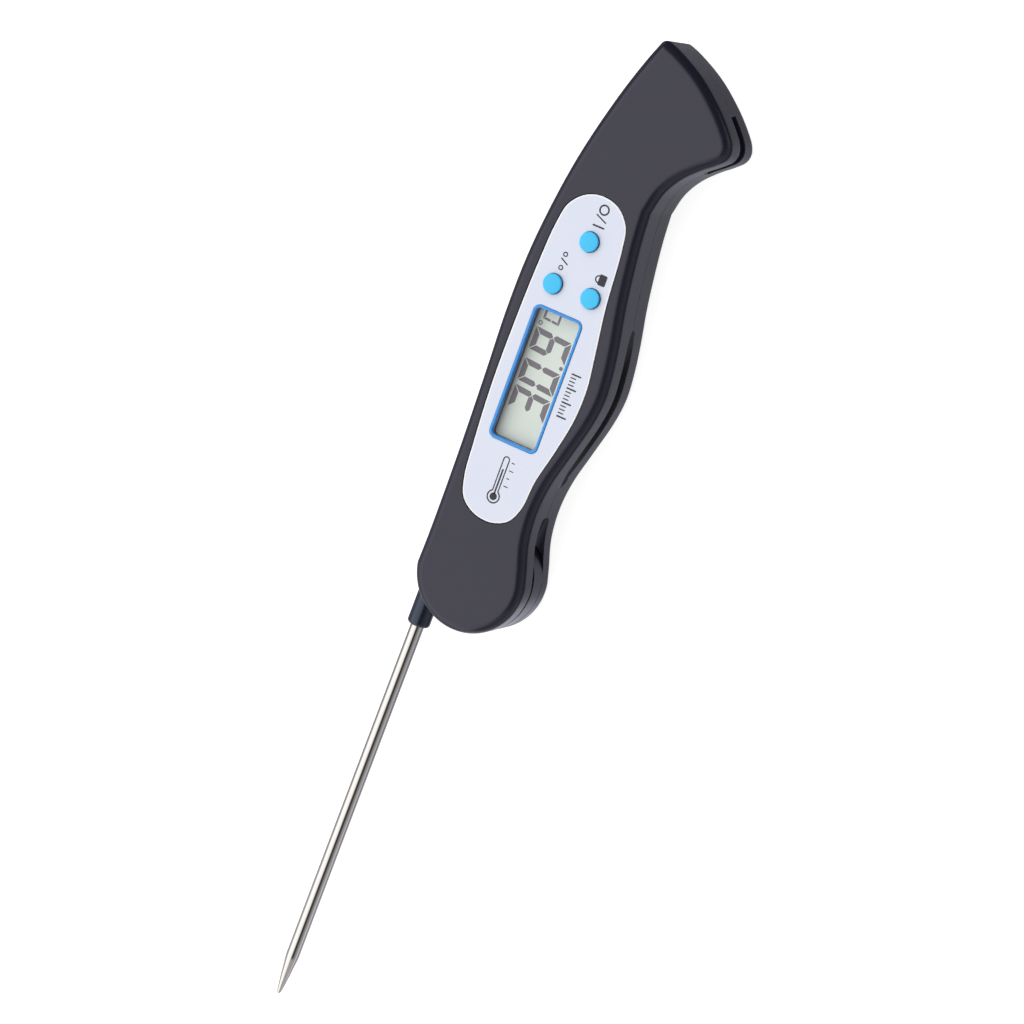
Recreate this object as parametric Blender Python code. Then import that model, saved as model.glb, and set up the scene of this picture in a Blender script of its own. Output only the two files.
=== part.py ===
"""Folding digital meat thermometer, knife-handle style.

Pieces are built in millimetres and turned into metres when they are finished.
The origin is the probe's pivot axis on the flat back of the handle: +X runs
from the pivot to the tail, +Y to the spine, +Z out of the display face.
The object rests on its back with the probe swung fully out, towards -X.
"""
import bpy
import bmesh
import math

MM = 0.001              # metres in a millimetre

# ---------------------------------------------------------------- dimensions
# handle
THICK = 18.0            # back face to display face
SPLIT = 8.5             # height of the joint between the two shells
SEAM = 0.15             # half of the gap at that joint
END_R = 14.5            # round end of the handle, about the pivot
FRONT_EDGE = 2.4        # rounded edge round the display face
BACK_EDGE = 1.6         # rounded edge round the back
CORNER_R = 1.5          # tail corner, in plan
MIN_CORNER_R = 0.35     # tail corner where the plan is moved far inwards
WALL = 2.0              # moulded wall
FLOOR = 2.0             # inner face of the back wall
CEILING = 15.6          # inner face of the front wall
BAY_START, BAY_END = 28.5, 101.2    # electronics bay, along X

# probe arm
PROBE_Z = SPLIT         # height of the probe's axis
PROBE_OFFSET = 11.15    # probe axis to pivot axis
REST_CANT = -0.6        # lean of the arm at rest, degrees about the pivot
FOLD = 176.0            # swing from fully out to folded, degrees
FOLD_DIRECTION = 180.0 + REST_CANT + FOLD
HUB_R = 14.3
HUB_THICK = 5.9
HUB_LOW, HUB_HIGH = PROBE_Z - HUB_THICK / 2, PROBE_Z + HUB_THICK / 2
CHEEK_GAP = 0.3         # running gap on each side of the hub
CHEEK_LOW, CHEEK_HIGH = HUB_LOW - CHEEK_GAP, HUB_HIGH + CHEEK_GAP
HUB_BORE_R = 3.35
HUB_RECESS_R = 6.5      # recess in the hub's back face, over the washer
HUB_RECESS_DEPTH = 0.8
HUB_BEVEL = 0.3
POST_R = 3.0            # post that the hub turns on
PIN_R = 1.2             # steel pin through the post
PIN_GAP = 0.15
PIN_BEVEL = 0.25
PIN_LOW, PIN_HIGH = 2.5, 15.3
WASHER_Z = 5.86         # mean height of the wave washer
WASHER_INNER_R, WASHER_OUTER_R = 3.7, 6.1
WASHER_HALF = 0.11      # half its thickness
WASHER_WAVE = 0.13      # height of its waves

# distances along the probe are from the foot of the pivot
SLEEVE_R = 2.9
SLEEVE_END = 19.3
NOTCH_R = 3.2           # channel for the folded sleeve
GROOVE_HALF = 2.0       # half width of the groove for the folded probe
GROOVE_ROOF = PROBE_OFFSET - 2.25   # flat roof of that groove, from the pivot
TUBE_R = 1.75
TUBE_BORE_R = 1.35
TUBE_START = 7.0
TUBE_TAPER = 112.3
TUBE_TIP = 122.6
LEAD_R = 0.26
LEAD_SPACING = 0.52     # each lead to the probe's axis
LEAD_TURN_X = -5.05     # where the pair of leads turns to the pivot
TROUGH_HALF = 1.25      # half width of the trough round the turned leads

# display
LCD_X, LCD_Y = 51.2, 1.1
FRAME_L, FRAME_W, FRAME_R = 34.6, 13.45, 1.5
FRAME_RIM = 0.75
FRAME_GAP = 0.15
GLASS_L, GLASS_W = 36.0, 17.0
REAR_GLASS_W = 12.4
GLASS_Z0, GLASS_Z1 = 14.2, 15.2
REAR_GLASS_Z0, REAR_GLASS_Z1 = 12.9, 13.9
HOLDER_GAP = 0.3        # glass to holder
HOLDER_RIM = 1.2        # glass to the holder's outside

# buttons: name, centre, all with the same cap
BUTTONS = (("power", 87.0, 0.2), ("unit", 74.3, 5.3), ("hold", 74.5, -5.0))
CAP_R = 2.45
CAP_TOP = 19.0
CAP_BASE = 14.0
STEM_BASE = 12.4

# board
BOARD_Z0, BOARD_Z1 = 9.9, 11.1
BOARD_GAP = 0.3         # board to the posts on either side
ON_BOARD = BOARD_Z1 + BOARD_GAP     # back face of the parts in front of the board
FRONT_POSTS = ((30.2, 8.0), (30.2, -6.5), (98.9, 6.6), (98.9, -5.2))
BACK_POSTS = ((30.2, 8.0), (30.2, -6.5), (74.0, 9.8), (74.0, -8.8))

# battery
BAT_X, BAT_Y = 88.5, 0.8
CELL_R = 5.8
CELL_GAP = 0.7
CHAMBER_R = 10.4
DOOR_R = 8.3
DOOR_GAP = 0.3
LUG_R = 9.2
LUG_GAP = 0.25
LUG_TURNS = (0.0, 180.0)
DOOR_LEDGE = 2.05       # inner face of the door's rim
SLOT_ANGLE = 32.0       # coin slot, degrees from +X
SEAL_R, SEAL_Z, SEAL_THICK_R = 7.5, 2.52, 0.34

# screws through the back: name, centre
CASE_SCREWS = (("case_screw_1", 22.5, 8.6), ("case_screw_2", 22.5, -4.6),
               ("case_screw_3", 105.0, -0.5), ("case_screw_4", 132.0, -2.6))
HEAD_R, SHANK_R = 1.9, 0.85
HEAD_TOP = 1.4          # where the head meets the shank
SCREW_END = 14.2

# sides of round pieces
HUB_SIDES = 72
ROUND = 40
SMALL = 20
FINE = 16

# ends of the cutting tools, clear of the material
BELOW = -3.0
FRONT_START = 5.0               # below the front shell
REAR_END = 12.0                 # above the rear shell
THROUGH_FRONT = (12.0, 22.0)    # through the front wall

# ---------------------------------------------- measured outlines, (x, y)
TAIL_CORNER = (138.3, 0.6)

# the spine, from the round end to the tail
SPINE = [(-2.5, 14.28), (4.0, 14.1), (14.0, 14.05), (30.0, 14.2), (48.0, 14.65),
         (64.0, 15.15), (78.0, 14.85), (92.0, 13.4), (106.0, 11.0), (122.0, 6.8),
         (132.0, 3.4), TAIL_CORNER]
# the end of the tail and the hook below it
TAIL = [TAIL_CORNER, (136.9, -3.7), (133.15, -11.1), (127.9, -17.9), (123.8, -22.0),
        (121.3, -23.95), (119.2, -24.7), (117.0, -24.2), (114.9, -22.1),
        (112.3, -18.85), (108.6, -15.15), (104.0, -12.4), (98.5, -11.0)]
# finger side: hollow for the finger, belly over the folded probe, waist at the pivot
FINGER = [(98.5, -11.0), (92.0, -11.4), (84.0, -12.3), (75.0, -13.6), (66.0, -15.35),
          (58.5, -16.45), (52.5, -16.8), (46.0, -15.95), (37.0, -13.6), (28.0, -11.25),
          (20.5, -10.5), (13.0, -11.2), (6.5, -13.15), (2.5, -14.28)]
# hollow in the tail
TAIL_BAY = [(118.0, 5.7), (127.5, 2.6), (127.5, -9.0), (122.0, -15.6), (113.6, -14.9),
            (109.0, -12.4), (109.0, 8.0)]
# face plate, anticlockwise from its tail end
LABEL = [(98.3, 1.0), (97.2, 5.4), (93.8, 8.9), (88.5, 10.2), (78.0, 11.0),
         (62.0, 11.5), (46.0, 11.6), (32.0, 10.9), (22.0, 10.0), (17.2, 8.2),
         (14.7, 4.0), (14.4, -0.8), (16.4, -4.9), (20.5, -7.0), (28.0, -7.9),
         (37.0, -10.1), (46.0, -11.8), (54.0, -12.0), (62.0, -11.1), (74.0, -9.4),
         (88.0, -8.2), (93.6, -7.0), (97.2, -3.6)]


# ------------------------------------------------------------------- curves
def spline(stations, steps):
    """Centripetal Catmull-Rom curve through the stations, ends included."""
    first = [2 * a - b for a, b in zip(stations[0], stations[1])]
    last = [2 * a - b for a, b in zip(stations[-1], stations[-2])]
    points = [first] + list(stations) + [last]
    curve = []
    for i in range(1, len(points) - 2):
        quad = points[i - 1:i + 3]
        knots = [0.0]
        for start, end in zip(quad, quad[1:]):
            knots.append(knots[-1] + math.dist(start, end) ** 0.5)

        def blend(low, high, at, start, end):
            """Linear blend of two values between two knots."""
            span = knots[high] - knots[low]
            return (knots[high] - at) / span * start + (at - knots[low]) / span * end

        for k in range(steps):
            at = knots[1] + (knots[2] - knots[1]) * k / steps
            point = []
            for values in zip(*quad):
                lines = [blend(j, j + 1, at, values[j], values[j + 1]) for j in range(3)]
                curves = [blend(j, j + 2, at, lines[j], lines[j + 1]) for j in range(2)]
                point.append(blend(1, 2, at, *curves))
            curve.append(tuple(point))
    curve.append(tuple(stations[-1]))
    return curve


def closed_spline(stations, steps):
    """Closed curve through the stations."""
    wrapped = [stations[-1]] + list(stations) + list(stations[:3])
    return spline(wrapped, steps)[steps:steps * (len(stations) + 1)]


def arc(x, y, radius, start, end, count):
    """Points on an arc, both ends included, angles in degrees."""
    angles = [math.radians(start + (end - start) * k / (count - 1)) for k in range(count)]
    return [(x + radius * math.cos(q), y + radius * math.sin(q)) for q in angles]


def full_turn(sides):
    return [2 * math.pi * k / sides for k in range(sides)]


def circle(x, y, radius, sides):
    return [(x + radius * math.cos(q), y + radius * math.sin(q)) for q in full_turn(sides)]


def rectangle(x0, y0, x1, y1):
    return [(x0, y0), (x1, y0), (x1, y1), (x0, y1)]


def rounded_box(x, y, length, width, radius, count=5):
    """Rectangle with rounded corners, anticlockwise."""
    half_x, half_y = length / 2 - radius, width / 2 - radius
    points = []
    for side_x, side_y, angle in ((1, 1, 0), (-1, 1, 90), (-1, -1, 180), (1, -1, 270)):
        points += arc(x + side_x * half_x, y + side_y * half_y, radius,
                      angle, angle + 90, count)
    return points


def unit(start, end):
    """Direction from one point to another."""
    x, y = end[0] - start[0], end[1] - start[1]
    length = math.hypot(x, y)
    return x / length, y / length


def turned(x, y, degrees):
    """Point turned about the pivot."""
    cosine, sine = math.cos(math.radians(degrees)), math.sin(math.radians(degrees))
    return x * cosine - y * sine, x * sine + y * cosine


def offset(loop, distance):
    """Anticlockwise loop moved inwards, mitred at every point."""
    moved = []
    for i, (x, y) in enumerate(loop):
        in_x, in_y = unit(loop[i - 1], (x, y))
        out_x, out_y = unit((x, y), loop[(i + 1) % len(loop)])
        mitre_x, mitre_y = -in_y - out_y, in_x + out_x
        scale = 2.0 / max(0.35, mitre_x * mitre_x + mitre_y * mitre_y)
        moved.append((x + distance * mitre_x * scale, y + distance * mitre_y * scale))
    return moved


def outline():
    """Side wall of the handle, anticlockwise from the finger side of the round end.

    The tail's corner is one sharp point, with no others near it; inset() rounds it.
    """
    def clear_corner(curve):
        return [p for p in curve if p == TAIL_CORNER or math.dist(p, TAIL_CORNER) > 3.3]

    finger = spline(FINGER, 3)[::-1]
    tail = clear_corner(spline(TAIL, 2)[::-1])
    spine = clear_corner(spline(SPINE, 3)[::-1])
    start = math.degrees(math.atan2(SPINE[0][1], SPINE[0][0]))
    end = 360.0 + math.degrees(math.atan2(FINGER[-1][1], FINGER[-1][0]))
    round_end = arc(0, 0, END_R, start, end, 28)
    return finger + tail[1:] + spine[1:] + round_end[1:-1]


LOOP = outline()


def inset(depth):
    """Plan of the handle moved inwards, with the tail's corner rounded."""
    at = LOOP.index(TAIL_CORNER)
    moved = offset(LOOP, depth)
    before, corner, after = moved[at - 1:at + 2]
    back_x, back_y = unit(corner, before)
    next_x, next_y = unit(corner, after)
    half = math.acos(back_x * next_x + back_y * next_y) / 2
    radius = max(CORNER_R - depth, MIN_CORNER_R)
    mid_x, mid_y = back_x + next_x, back_y + next_y
    reach = radius / math.sin(half) / math.hypot(mid_x, mid_y)
    start = math.degrees(math.atan2(back_x, -back_y))
    rounded = arc(corner[0] + mid_x * reach, corner[1] + mid_y * reach, radius,
                  start, start + 180.0 - math.degrees(2 * half), 6)
    return moved[:at] + rounded + moved[at + 1:]


def y_at(curve, x):
    """Y of an open curve at x; past its far end, Y of its last point."""
    points = sorted(curve)
    for (x0, y0), (x1, y1) in zip(points, points[1:]):
        if x0 <= x <= x1:
            return y0 + (y1 - y0) * (x - x0) / (x1 - x0)
    return points[-1][1]


def folded(along, away):
    """Point given along the folded probe and away from the spine."""
    return turned(along, -away, FOLD_DIRECTION)


def roof_y(x):
    """Line of the probe groove's roof at x."""
    x0, y0 = folded(0.0, GROOVE_ROOF)
    x1, y1 = folded(100.0, GROOVE_ROOF)
    return y0 + (y1 - y0) * (x - x0) / (x1 - x0)


def bay_plan(start, end, gap, steps=18):
    """Plan of the electronics bay between two stations, less a gap at the sides."""
    spine, finger = spline(SPINE, 6), spline(FINGER, 6)
    low, high = [], []
    for k in range(steps + 1):
        x = start + (end - start) * k / steps
        low.append((x, max(y_at(finger, x) + WALL, roof_y(x) + 1.4) + gap))
        high.append((x, y_at(spine, x) - WALL - gap))
    return low + high[::-1]


# ------------------------------------------------------------------- meshes
def new_object(name, mesh):
    """Object from a working mesh, merged, triangulated and facing outwards."""
    bmesh.ops.remove_doubles(mesh, verts=mesh.verts, dist=1e-4)
    bmesh.ops.triangulate(mesh, faces=mesh.faces[:], quad_method='BEAUTY',
                          ngon_method='BEAUTY')
    bmesh.ops.recalc_face_normals(mesh, faces=mesh.faces[:])
    data = bpy.data.meshes.new(name)
    mesh.to_mesh(data)
    mesh.free()
    piece = bpy.data.objects.new(name, data)
    bpy.context.scene.collection.objects.link(piece)
    return piece


def bridge(mesh, row, following):
    """Band of quads between two closed rows of vertices."""
    count = len(row)
    for i in range(count):
        j = (i + 1) % count
        mesh.faces.new((row[i], row[j], following[j], following[i]))


def loft(name, rings):
    """Closed solid through rings of equal length, capped at both ends."""
    mesh = bmesh.new()
    rows = [[mesh.verts.new(point) for point in ring] for ring in rings]
    for row, following in zip(rows, rows[1:]):
        bridge(mesh, row, following)
    mesh.faces.new(rows[0][::-1])
    mesh.faces.new(rows[-1])
    return new_object(name, mesh)


def at_height(loop, z):
    return [(x, y, z) for x, y in loop]


def prism(name, loop, z0, z1, bevel=0.0):
    """Straight solid over a plan, with an optional small chamfer at the top."""
    rings = [at_height(loop, z0), at_height(loop, z1 - bevel)]
    if bevel:
        rings.append(at_height(offset(loop, bevel), z1))
    return loft(name, rings)


def disc(x, y, radius, z0, z1, sides):
    """Upright cylinder used as a tool."""
    return prism("tool", circle(x, y, radius, sides), z0, z1)


def lathe(name, profile, centre_x=0.0, centre_y=0.0, sides=SMALL, along=False):
    """Solid of revolution. profile is (radius, height); a radius of 0 closes a pole.

    Upright about the centre, or, with along, about the probe's axis towards -X.
    A profile that never reaches 0 is closed on itself and gives a ring.
    """
    mesh = bmesh.new()

    def place(radius, height, angle):
        across, up = radius * math.cos(angle), radius * math.sin(angle)
        if along:
            return (-height, PROBE_OFFSET + across, PROBE_Z + up)
        return (centre_x + across, centre_y + up, height)

    rows = []
    for radius, height in profile:
        angles = full_turn(sides) if radius else [0.0]
        rows.append([mesh.verts.new(place(radius, height, q)) for q in angles])
    pairs = list(zip(rows, rows[1:]))
    if all(radius > 0 for radius, _ in profile):
        pairs.append((rows[-1], rows[0]))
    for row, following in pairs:
        if len(row) > 1 and len(following) > 1:
            bridge(mesh, row, following)
            continue
        for i in range(sides):
            j = (i + 1) % sides
            if len(row) == 1:
                mesh.faces.new((row[0], following[j], following[i]))
            else:
                mesh.faces.new((row[i], row[j], following[0]))
    return new_object(name, mesh)


def battery_sector(inner, outer, start, end, z0, z1, count=10):
    """Tool: part of a ring about the battery's axis between two angles."""
    plan = (arc(BAT_X, BAT_Y, outer, start, end, count)
            + arc(BAT_X, BAT_Y, inner, end, start, count))
    return prism("tool", plan, z0, z1)


def wire(name, path, z, radius):
    """Round wire through the (x, y) points of a level path, widened at its bends."""
    rings = []
    last = len(path) - 1
    for i, (x, y) in enumerate(path):
        before = path[max(0, i - 1)]
        along_x, along_y = unit(before, path[min(last, i + 1)])
        stretch = 1.0
        if 0 < i < last:
            in_x, in_y = unit(before, (x, y))
            stretch = 1.0 / max(0.5, in_x * along_x + in_y * along_y)
        rings.append([(x - radius * math.cos(q) * along_y * stretch,
                       y + radius * math.cos(q) * along_x * stretch,
                       z + radius * math.sin(q)) for q in full_turn(8)])
    return loft(name, rings)


def merge_flat(mesh):
    """Merge facets that lie in one plane."""
    bmesh.ops.dissolve_limit(mesh, angle_limit=math.radians(0.02),
                             use_dissolve_boundaries=False, verts=mesh.verts[:],
                             edges=mesh.edges[:], delimit=set())


def apply_boolean(piece, tool, operation):
    """Apply one exact boolean, drop the tool and clean the mesh."""
    modifier = piece.modifiers.new("cut", 'BOOLEAN')
    modifier.operation = operation
    modifier.solver = 'EXACT'
    modifier.object = tool
    bpy.context.view_layer.update()
    with bpy.context.temp_override(object=piece, active_object=piece,
                                   selected_objects=[piece]):
        bpy.ops.object.modifier_apply(modifier=modifier.name)
    bpy.data.objects.remove(tool, do_unlink=True)
    mesh = bmesh.new()
    mesh.from_mesh(piece.data)
    bmesh.ops.remove_doubles(mesh, verts=mesh.verts, dist=1e-4)
    bmesh.ops.dissolve_degenerate(mesh, edges=mesh.edges[:], dist=1e-4)
    merge_flat(mesh)
    mesh.to_mesh(piece.data)
    mesh.free()


def cut(piece, *tools):
    for tool in tools:
        apply_boolean(piece, tool, 'DIFFERENCE')


def add(piece, *tools):
    for tool in tools:
        apply_boolean(piece, tool, 'UNION')


def to_metres(piece, origin):
    """Merge flat facets, turn the mesh into metres and put its origin on the point."""
    mesh = bmesh.new()
    mesh.from_mesh(piece.data)
    merge_flat(mesh)
    bmesh.ops.triangulate(mesh, faces=mesh.faces[:], quad_method='BEAUTY',
                          ngon_method='BEAUTY')
    for vert in mesh.verts:
        vert.co = [(value - start) * MM for value, start in zip(vert.co, origin)]
    mesh.normal_update()
    mesh.to_mesh(piece.data)
    mesh.free()
    piece.location = [value * MM for value in origin]


def cant(piece):
    """Lean a part of the arm to its rest position."""
    for vert in piece.data.vertices:
        vert.co.x, vert.co.y = turned(vert.co.x, vert.co.y, REST_CANT)


def finish(piece, color, rough, metal=0.0, alpha=1.0, origin=(0.0, 0.0, 0.0)):
    """Metres, origin, a Principled material of the piece's own, smooth shading."""
    to_metres(piece, origin)
    material = bpy.data.materials.new(piece.name)
    material.use_nodes = True
    inputs = material.node_tree.nodes["Principled BSDF"].inputs
    inputs["Base Color"].default_value = (*color, 1.0)
    inputs["Roughness"].default_value = rough
    inputs["Metallic"].default_value = metal
    inputs["Alpha"].default_value = alpha
    piece.data.materials.clear()
    piece.data.materials.append(material)
    with bpy.context.temp_override(object=piece, active_object=piece,
                                   selected_objects=[piece],
                                   selected_editable_objects=[piece]):
        bpy.ops.object.shade_smooth_by_angle(angle=math.radians(30))


# ------------------------------------------------------------------- shells
def sleeve_notch():
    """Tool: round-bottomed channel in the finger side that takes the folded sleeve."""
    opening = 30.0
    section = [(opening, PROBE_Z - NOTCH_R)]
    for degrees in range(0, 181, 15):
        angle = math.radians(degrees)
        section.append((PROBE_OFFSET - NOTCH_R * math.sin(angle),
                        PROBE_Z - NOTCH_R * math.cos(angle)))
    section.append((opening, PROBE_Z + NOTCH_R))
    return loft("tool", [[folded(along, away) + (z,) for away, z in section]
                         for along in (-2.0, 19.8)])


def probe_groove():
    """Tool: groove for the folded probe, open at the finger side.

    Its roof is round, and flat in the tail.
    """
    opening = 34.0
    rings = []
    # distance along the folded probe, flatness of the roof
    for along, flat in ((18.6, 0.0), (103.0, 0.0), (105.0, 1.0), (144.0, 1.0)):
        section = [(opening, PROBE_Z - GROOVE_HALF)]
        for degrees in range(0, 181, 20):
            angle = math.radians(degrees)
            section.append((GROOVE_ROOF + (1 - flat) * GROOVE_HALF * (1 - math.sin(angle)),
                            PROBE_Z - GROOVE_HALF * math.cos(angle)))
        section.append((opening, PROBE_Z + GROOVE_HALF))
        rings.append([folded(along, away) + (z,) for away, z in section])
    return loft("tool", rings)


def cut_hollows(shell, z0, z1):
    """Cut the spaces for the arm, then the two bays between the given heights."""
    cut(shell, disc(0, 0, END_R + 0.3, CHEEK_LOW, CHEEK_HIGH, HUB_SIDES))
    # blunt start of the spine wall beside the hub
    cut(shell, prism("tool", rectangle(-20, 6, 7.5, 22), CHEEK_LOW, CHEEK_HIGH))
    cut(shell, sleeve_notch(), probe_groove())
    cut(shell, prism("tool", bay_plan(BAY_START, BAY_END, 0.0), z0, z1))
    cut(shell, prism("tool", TAIL_BAY, z0, z1))


def rounded_rim(radius, degrees):
    """Inset and height of a point on a rounded edge, from where the edge starts."""
    angle = math.radians(degrees)
    return radius * (1 - math.cos(angle)), radius * math.sin(angle)


def frame_opening():
    """Tool: hole for the display frame."""
    plan = rounded_box(LCD_X, LCD_Y, FRAME_L + 2 * FRAME_GAP, FRAME_W + 2 * FRAME_GAP,
                       FRAME_R + FRAME_GAP)
    return prism("tool", plan, *THROUGH_FRONT)


def cut_buttons(piece, gap):
    for _, x, y in BUTTONS:
        cut(piece, disc(x, y, CAP_R + gap, *THROUGH_FRONT, SMALL))


def front_shell():
    edge_start = THICK - FRONT_EDGE
    rings = [at_height(inset(0.0), z) for z in (SPLIT + SEAM, edge_start)]
    for degrees in (30, 60, 90):
        depth, rise = rounded_rim(FRONT_EDGE, degrees)
        rings.append(at_height(inset(depth), edge_start + rise))
    shell = loft("front_shell", rings)
    cut_hollows(shell, FRONT_START, CEILING)
    # recess for the face plate
    cut(shell, prism("tool", offset(closed_spline(LABEL, 4), -0.25), 17.15, 22.0))
    cut(shell, frame_opening())
    cut_buttons(shell, 0.3)
    for _, x, y in CASE_SCREWS:
        cut(shell, disc(x, y, SHANK_R + 0.3, FRONT_START, 14.6, FINE))
    cut(shell, disc(0, 0, PIN_R + PIN_GAP, 10.0, 15.6, FINE))
    # slot from the pivot to the electronics bay
    cut(shell, prism("tool", rectangle(1.8, 0.4, 29.5, 3.0), 9.0, 13.4))
    for x, y in FRONT_POSTS:
        add(shell, disc(x, y, 1.1, BOARD_Z1 + BOARD_GAP, CEILING + 0.4, FINE))
    finish(shell, color=(0.060, 0.060, 0.070), rough=0.42)


def rear_shell():
    rings = []
    for degrees in (90, 60, 30):
        depth, rise = rounded_rim(BACK_EDGE, degrees)
        rings.append(at_height(inset(depth), BACK_EDGE - rise))
    rings += [at_height(inset(0.0), z) for z in (BACK_EDGE, SPLIT - SEAM)]
    shell = loft("rear_shell", rings)
    cut_hollows(shell, FLOOR, REAR_END)
    add(shell, disc(0, 0, POST_R, CHEEK_LOW - 1.0, CHEEK_HIGH - 0.3, SMALL))
    # battery chamber
    add(shell, disc(BAT_X, BAT_Y, CHAMBER_R, FLOOR - 0.6, 8.1, ROUND))
    for x, y in BACK_POSTS:
        add(shell, disc(x, y, 1.4, FLOOR - 0.5, BOARD_Z0 - BOARD_GAP, FINE))
    cut(shell, disc(BAT_X, BAT_Y, DOOR_R + DOOR_GAP, BELOW, 3.0, ROUND))
    cut(shell, disc(BAT_X, BAT_Y, CELL_R + CELL_GAP, 1.0, REAR_END, ROUND))
    track_r = LUG_R + LUG_GAP
    for turn in LUG_TURNS:
        # way in for each lug, and the track it turns along
        cut(shell, battery_sector(7.0, track_r, turn + 75, turn + 105, BELOW, 2.35))
        cut(shell, battery_sector(7.0, track_r, turn + 10, turn + 90, 1.1, 2.35, 16))
    for _, x, y in CASE_SCREWS:
        cut(shell, disc(x, y, HEAD_R + 0.4, BELOW, 1.7, SMALL))
        cut(shell, disc(x, y, SHANK_R + 0.4, BELOW, REAR_END, FINE))
    cut(shell, disc(0, 0, PIN_R + PIN_GAP, 2.2, 14.0, FINE))
    finish(shell, color=(0.055, 0.055, 0.064), rough=0.45)


# --------------------------------------------------------- face and display
def face_plate():
    plate = prism("face_plate", closed_spline(LABEL, 4), 17.45, 18.05, bevel=0.12)
    cut(plate, frame_opening())
    cut_buttons(plate, 0.2)
    finish(plate, color=(0.74, 0.77, 0.90), rough=0.30)


def lcd_box(name, length, width, radius, z0, z1, count=5, bevel=0.0):
    """Rounded box centred on the display."""
    plan = rounded_box(LCD_X, LCD_Y, length, width, radius, count)
    return prism(name, plan, z0, z1, bevel)


def display():
    inner_l, inner_w = FRAME_L - 2 * FRAME_RIM, FRAME_W - 2 * FRAME_RIM
    frame = lcd_box("display_frame", FRAME_L, FRAME_W, FRAME_R, 15.9, 18.25, bevel=0.15)
    cut(frame, lcd_box("tool", inner_l, inner_w, FRAME_R - FRAME_RIM, *THROUGH_FRONT))
    finish(frame, color=(0.05, 0.30, 0.76), rough=0.35)

    window = lcd_box("display_window", inner_l - 0.4, inner_w - 0.4, 0.6, 16.2, 16.9)
    finish(window, color=(0.93, 0.95, 0.95), rough=0.05, alpha=0.25)

    glass = lcd_box("lcd_front_glass", GLASS_L, GLASS_W, 0.2, GLASS_Z0, GLASS_Z1, 2)
    finish(glass, color=(0.64, 0.68, 0.58), rough=0.08)
    glass = lcd_box("lcd_rear_glass", GLASS_L, REAR_GLASS_W, 0.2,
                    REAR_GLASS_Z0, REAR_GLASS_Z1, 2)
    finish(glass, color=(0.60, 0.64, 0.56), rough=0.10)

    holder = lcd_box("lcd_holder", GLASS_L + 2 * HOLDER_RIM, GLASS_W + 2 * HOLDER_RIM,
                     0.8, ON_BOARD, GLASS_Z1, 3)
    cut(holder, lcd_box("tool", GLASS_L + 2 * HOLDER_GAP, GLASS_W + 2 * HOLDER_GAP,
                        0.4, 9.0, 18.0, 2))
    finish(holder, color=(0.70, 0.70, 0.68), rough=0.50)

    for side, name in ((1, "contact_strip_spine"), (-1, "contact_strip_finger")):
        plan = rounded_box(LCD_X, LCD_Y + side * 7.6, 33.0, 1.6, 0.3, 3)
        strip = prism(name, plan, ON_BOARD, REAR_GLASS_Z1)
        finish(strip, color=(0.16, 0.14, 0.13), rough=0.70)


# ------------------------------------------------------- board and switches
def circuit_board():
    board = prism("circuit_board", bay_plan(BAY_START + 0.7, BAY_END - 0.6, 0.6),
                  BOARD_Z0, BOARD_Z1)
    finish(board, color=(0.02, 0.16, 0.07), rough=0.40)

    cover = lathe("chip_cover", [(0, 8.3), (1.6, 8.35), (3.1, 8.6), (4.2, 9.05),
                                 (4.7, 9.6), (0, 9.6)], 52.0, 1.0)
    finish(cover, color=(0.015, 0.015, 0.016), rough=0.30)


def button(name, x, y):
    """Cap, switch body and switch stem."""
    cap = lathe("button_cap_" + name,
                [(0, CAP_BASE), (1.3, CAP_BASE), (1.3, 14.4), (3.1, 14.4), (3.1, 15.2),
                 (CAP_R, 15.2), (CAP_R, 18.45), (CAP_R - 0.1, 18.75),
                 (CAP_R - 0.4, 18.92), (1.1, 18.98), (0, CAP_TOP)], x, y, 24)
    finish(cap, color=(0.06, 0.50, 0.90), rough=0.38, origin=(x, y, CAP_BASE))

    body = prism("switch_body_" + name, rounded_box(x, y, 5.2, 5.2, 0.4, 3),
                 ON_BOARD, 13.2)
    cut(body, disc(x, y, 1.45, 11.9, 16.0, SMALL))
    finish(body, color=(0.03, 0.03, 0.03), rough=0.50)

    stem = lathe("switch_stem_" + name, [(0, STEM_BASE), (1.15, STEM_BASE), (1.15, 13.55),
                                         (1.0, 13.7), (0, 13.7)], x, y)
    finish(stem, color=(0.55, 0.55, 0.53), rough=0.45, origin=(x, y, STEM_BASE))


# ------------------------------------------------------------------ battery
def battery_cell():
    cell = lathe("battery_cell",
                 [(0, 2.9), (5.3, 2.9), (5.7, 3.05), (CELL_R, 3.45), (CELL_R, 7.4),
                  (5.6, 7.75), (5.1, 7.9), (4.6, 7.9), (4.5, 8.25), (4.3, 8.3), (0, 8.3)],
                 BAT_X, BAT_Y, ROUND)
    finish(cell, color=(0.72, 0.72, 0.70), rough=0.25, metal=1.0)


def battery_contacts():
    """Upright strip beside the cell, and a bent spring leaf over it."""
    plan = rectangle(BAT_X - 6.3, BAT_Y - 1.0, BAT_X - 6.05, BAT_Y + 1.0)
    plus = prism("contact_positive", plan, 3.6, 9.6)
    finish(plus, color=(0.70, 0.66, 0.55), rough=0.30, metal=1.0)

    start, end = BAT_X - 3.6, BAT_X + 4.4
    half_width, thick = 1.3, 0.22
    heights = (9.55, 9.5, 9.15, 8.85, 8.72, 8.8, 8.95)      # front face, evenly along X
    front = [(start + (end - start) * k / (len(heights) - 1), z)
             for k, z in enumerate(heights)]
    profile = front + [(x, z - thick) for x, z in reversed(front)]
    minus = loft("contact_negative", [[(x, BAT_Y + side * half_width, z)
                                       for x, z in profile] for side in (-1, 1)])
    finish(minus, color=(0.70, 0.66, 0.55), rough=0.30, metal=1.0)


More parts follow.
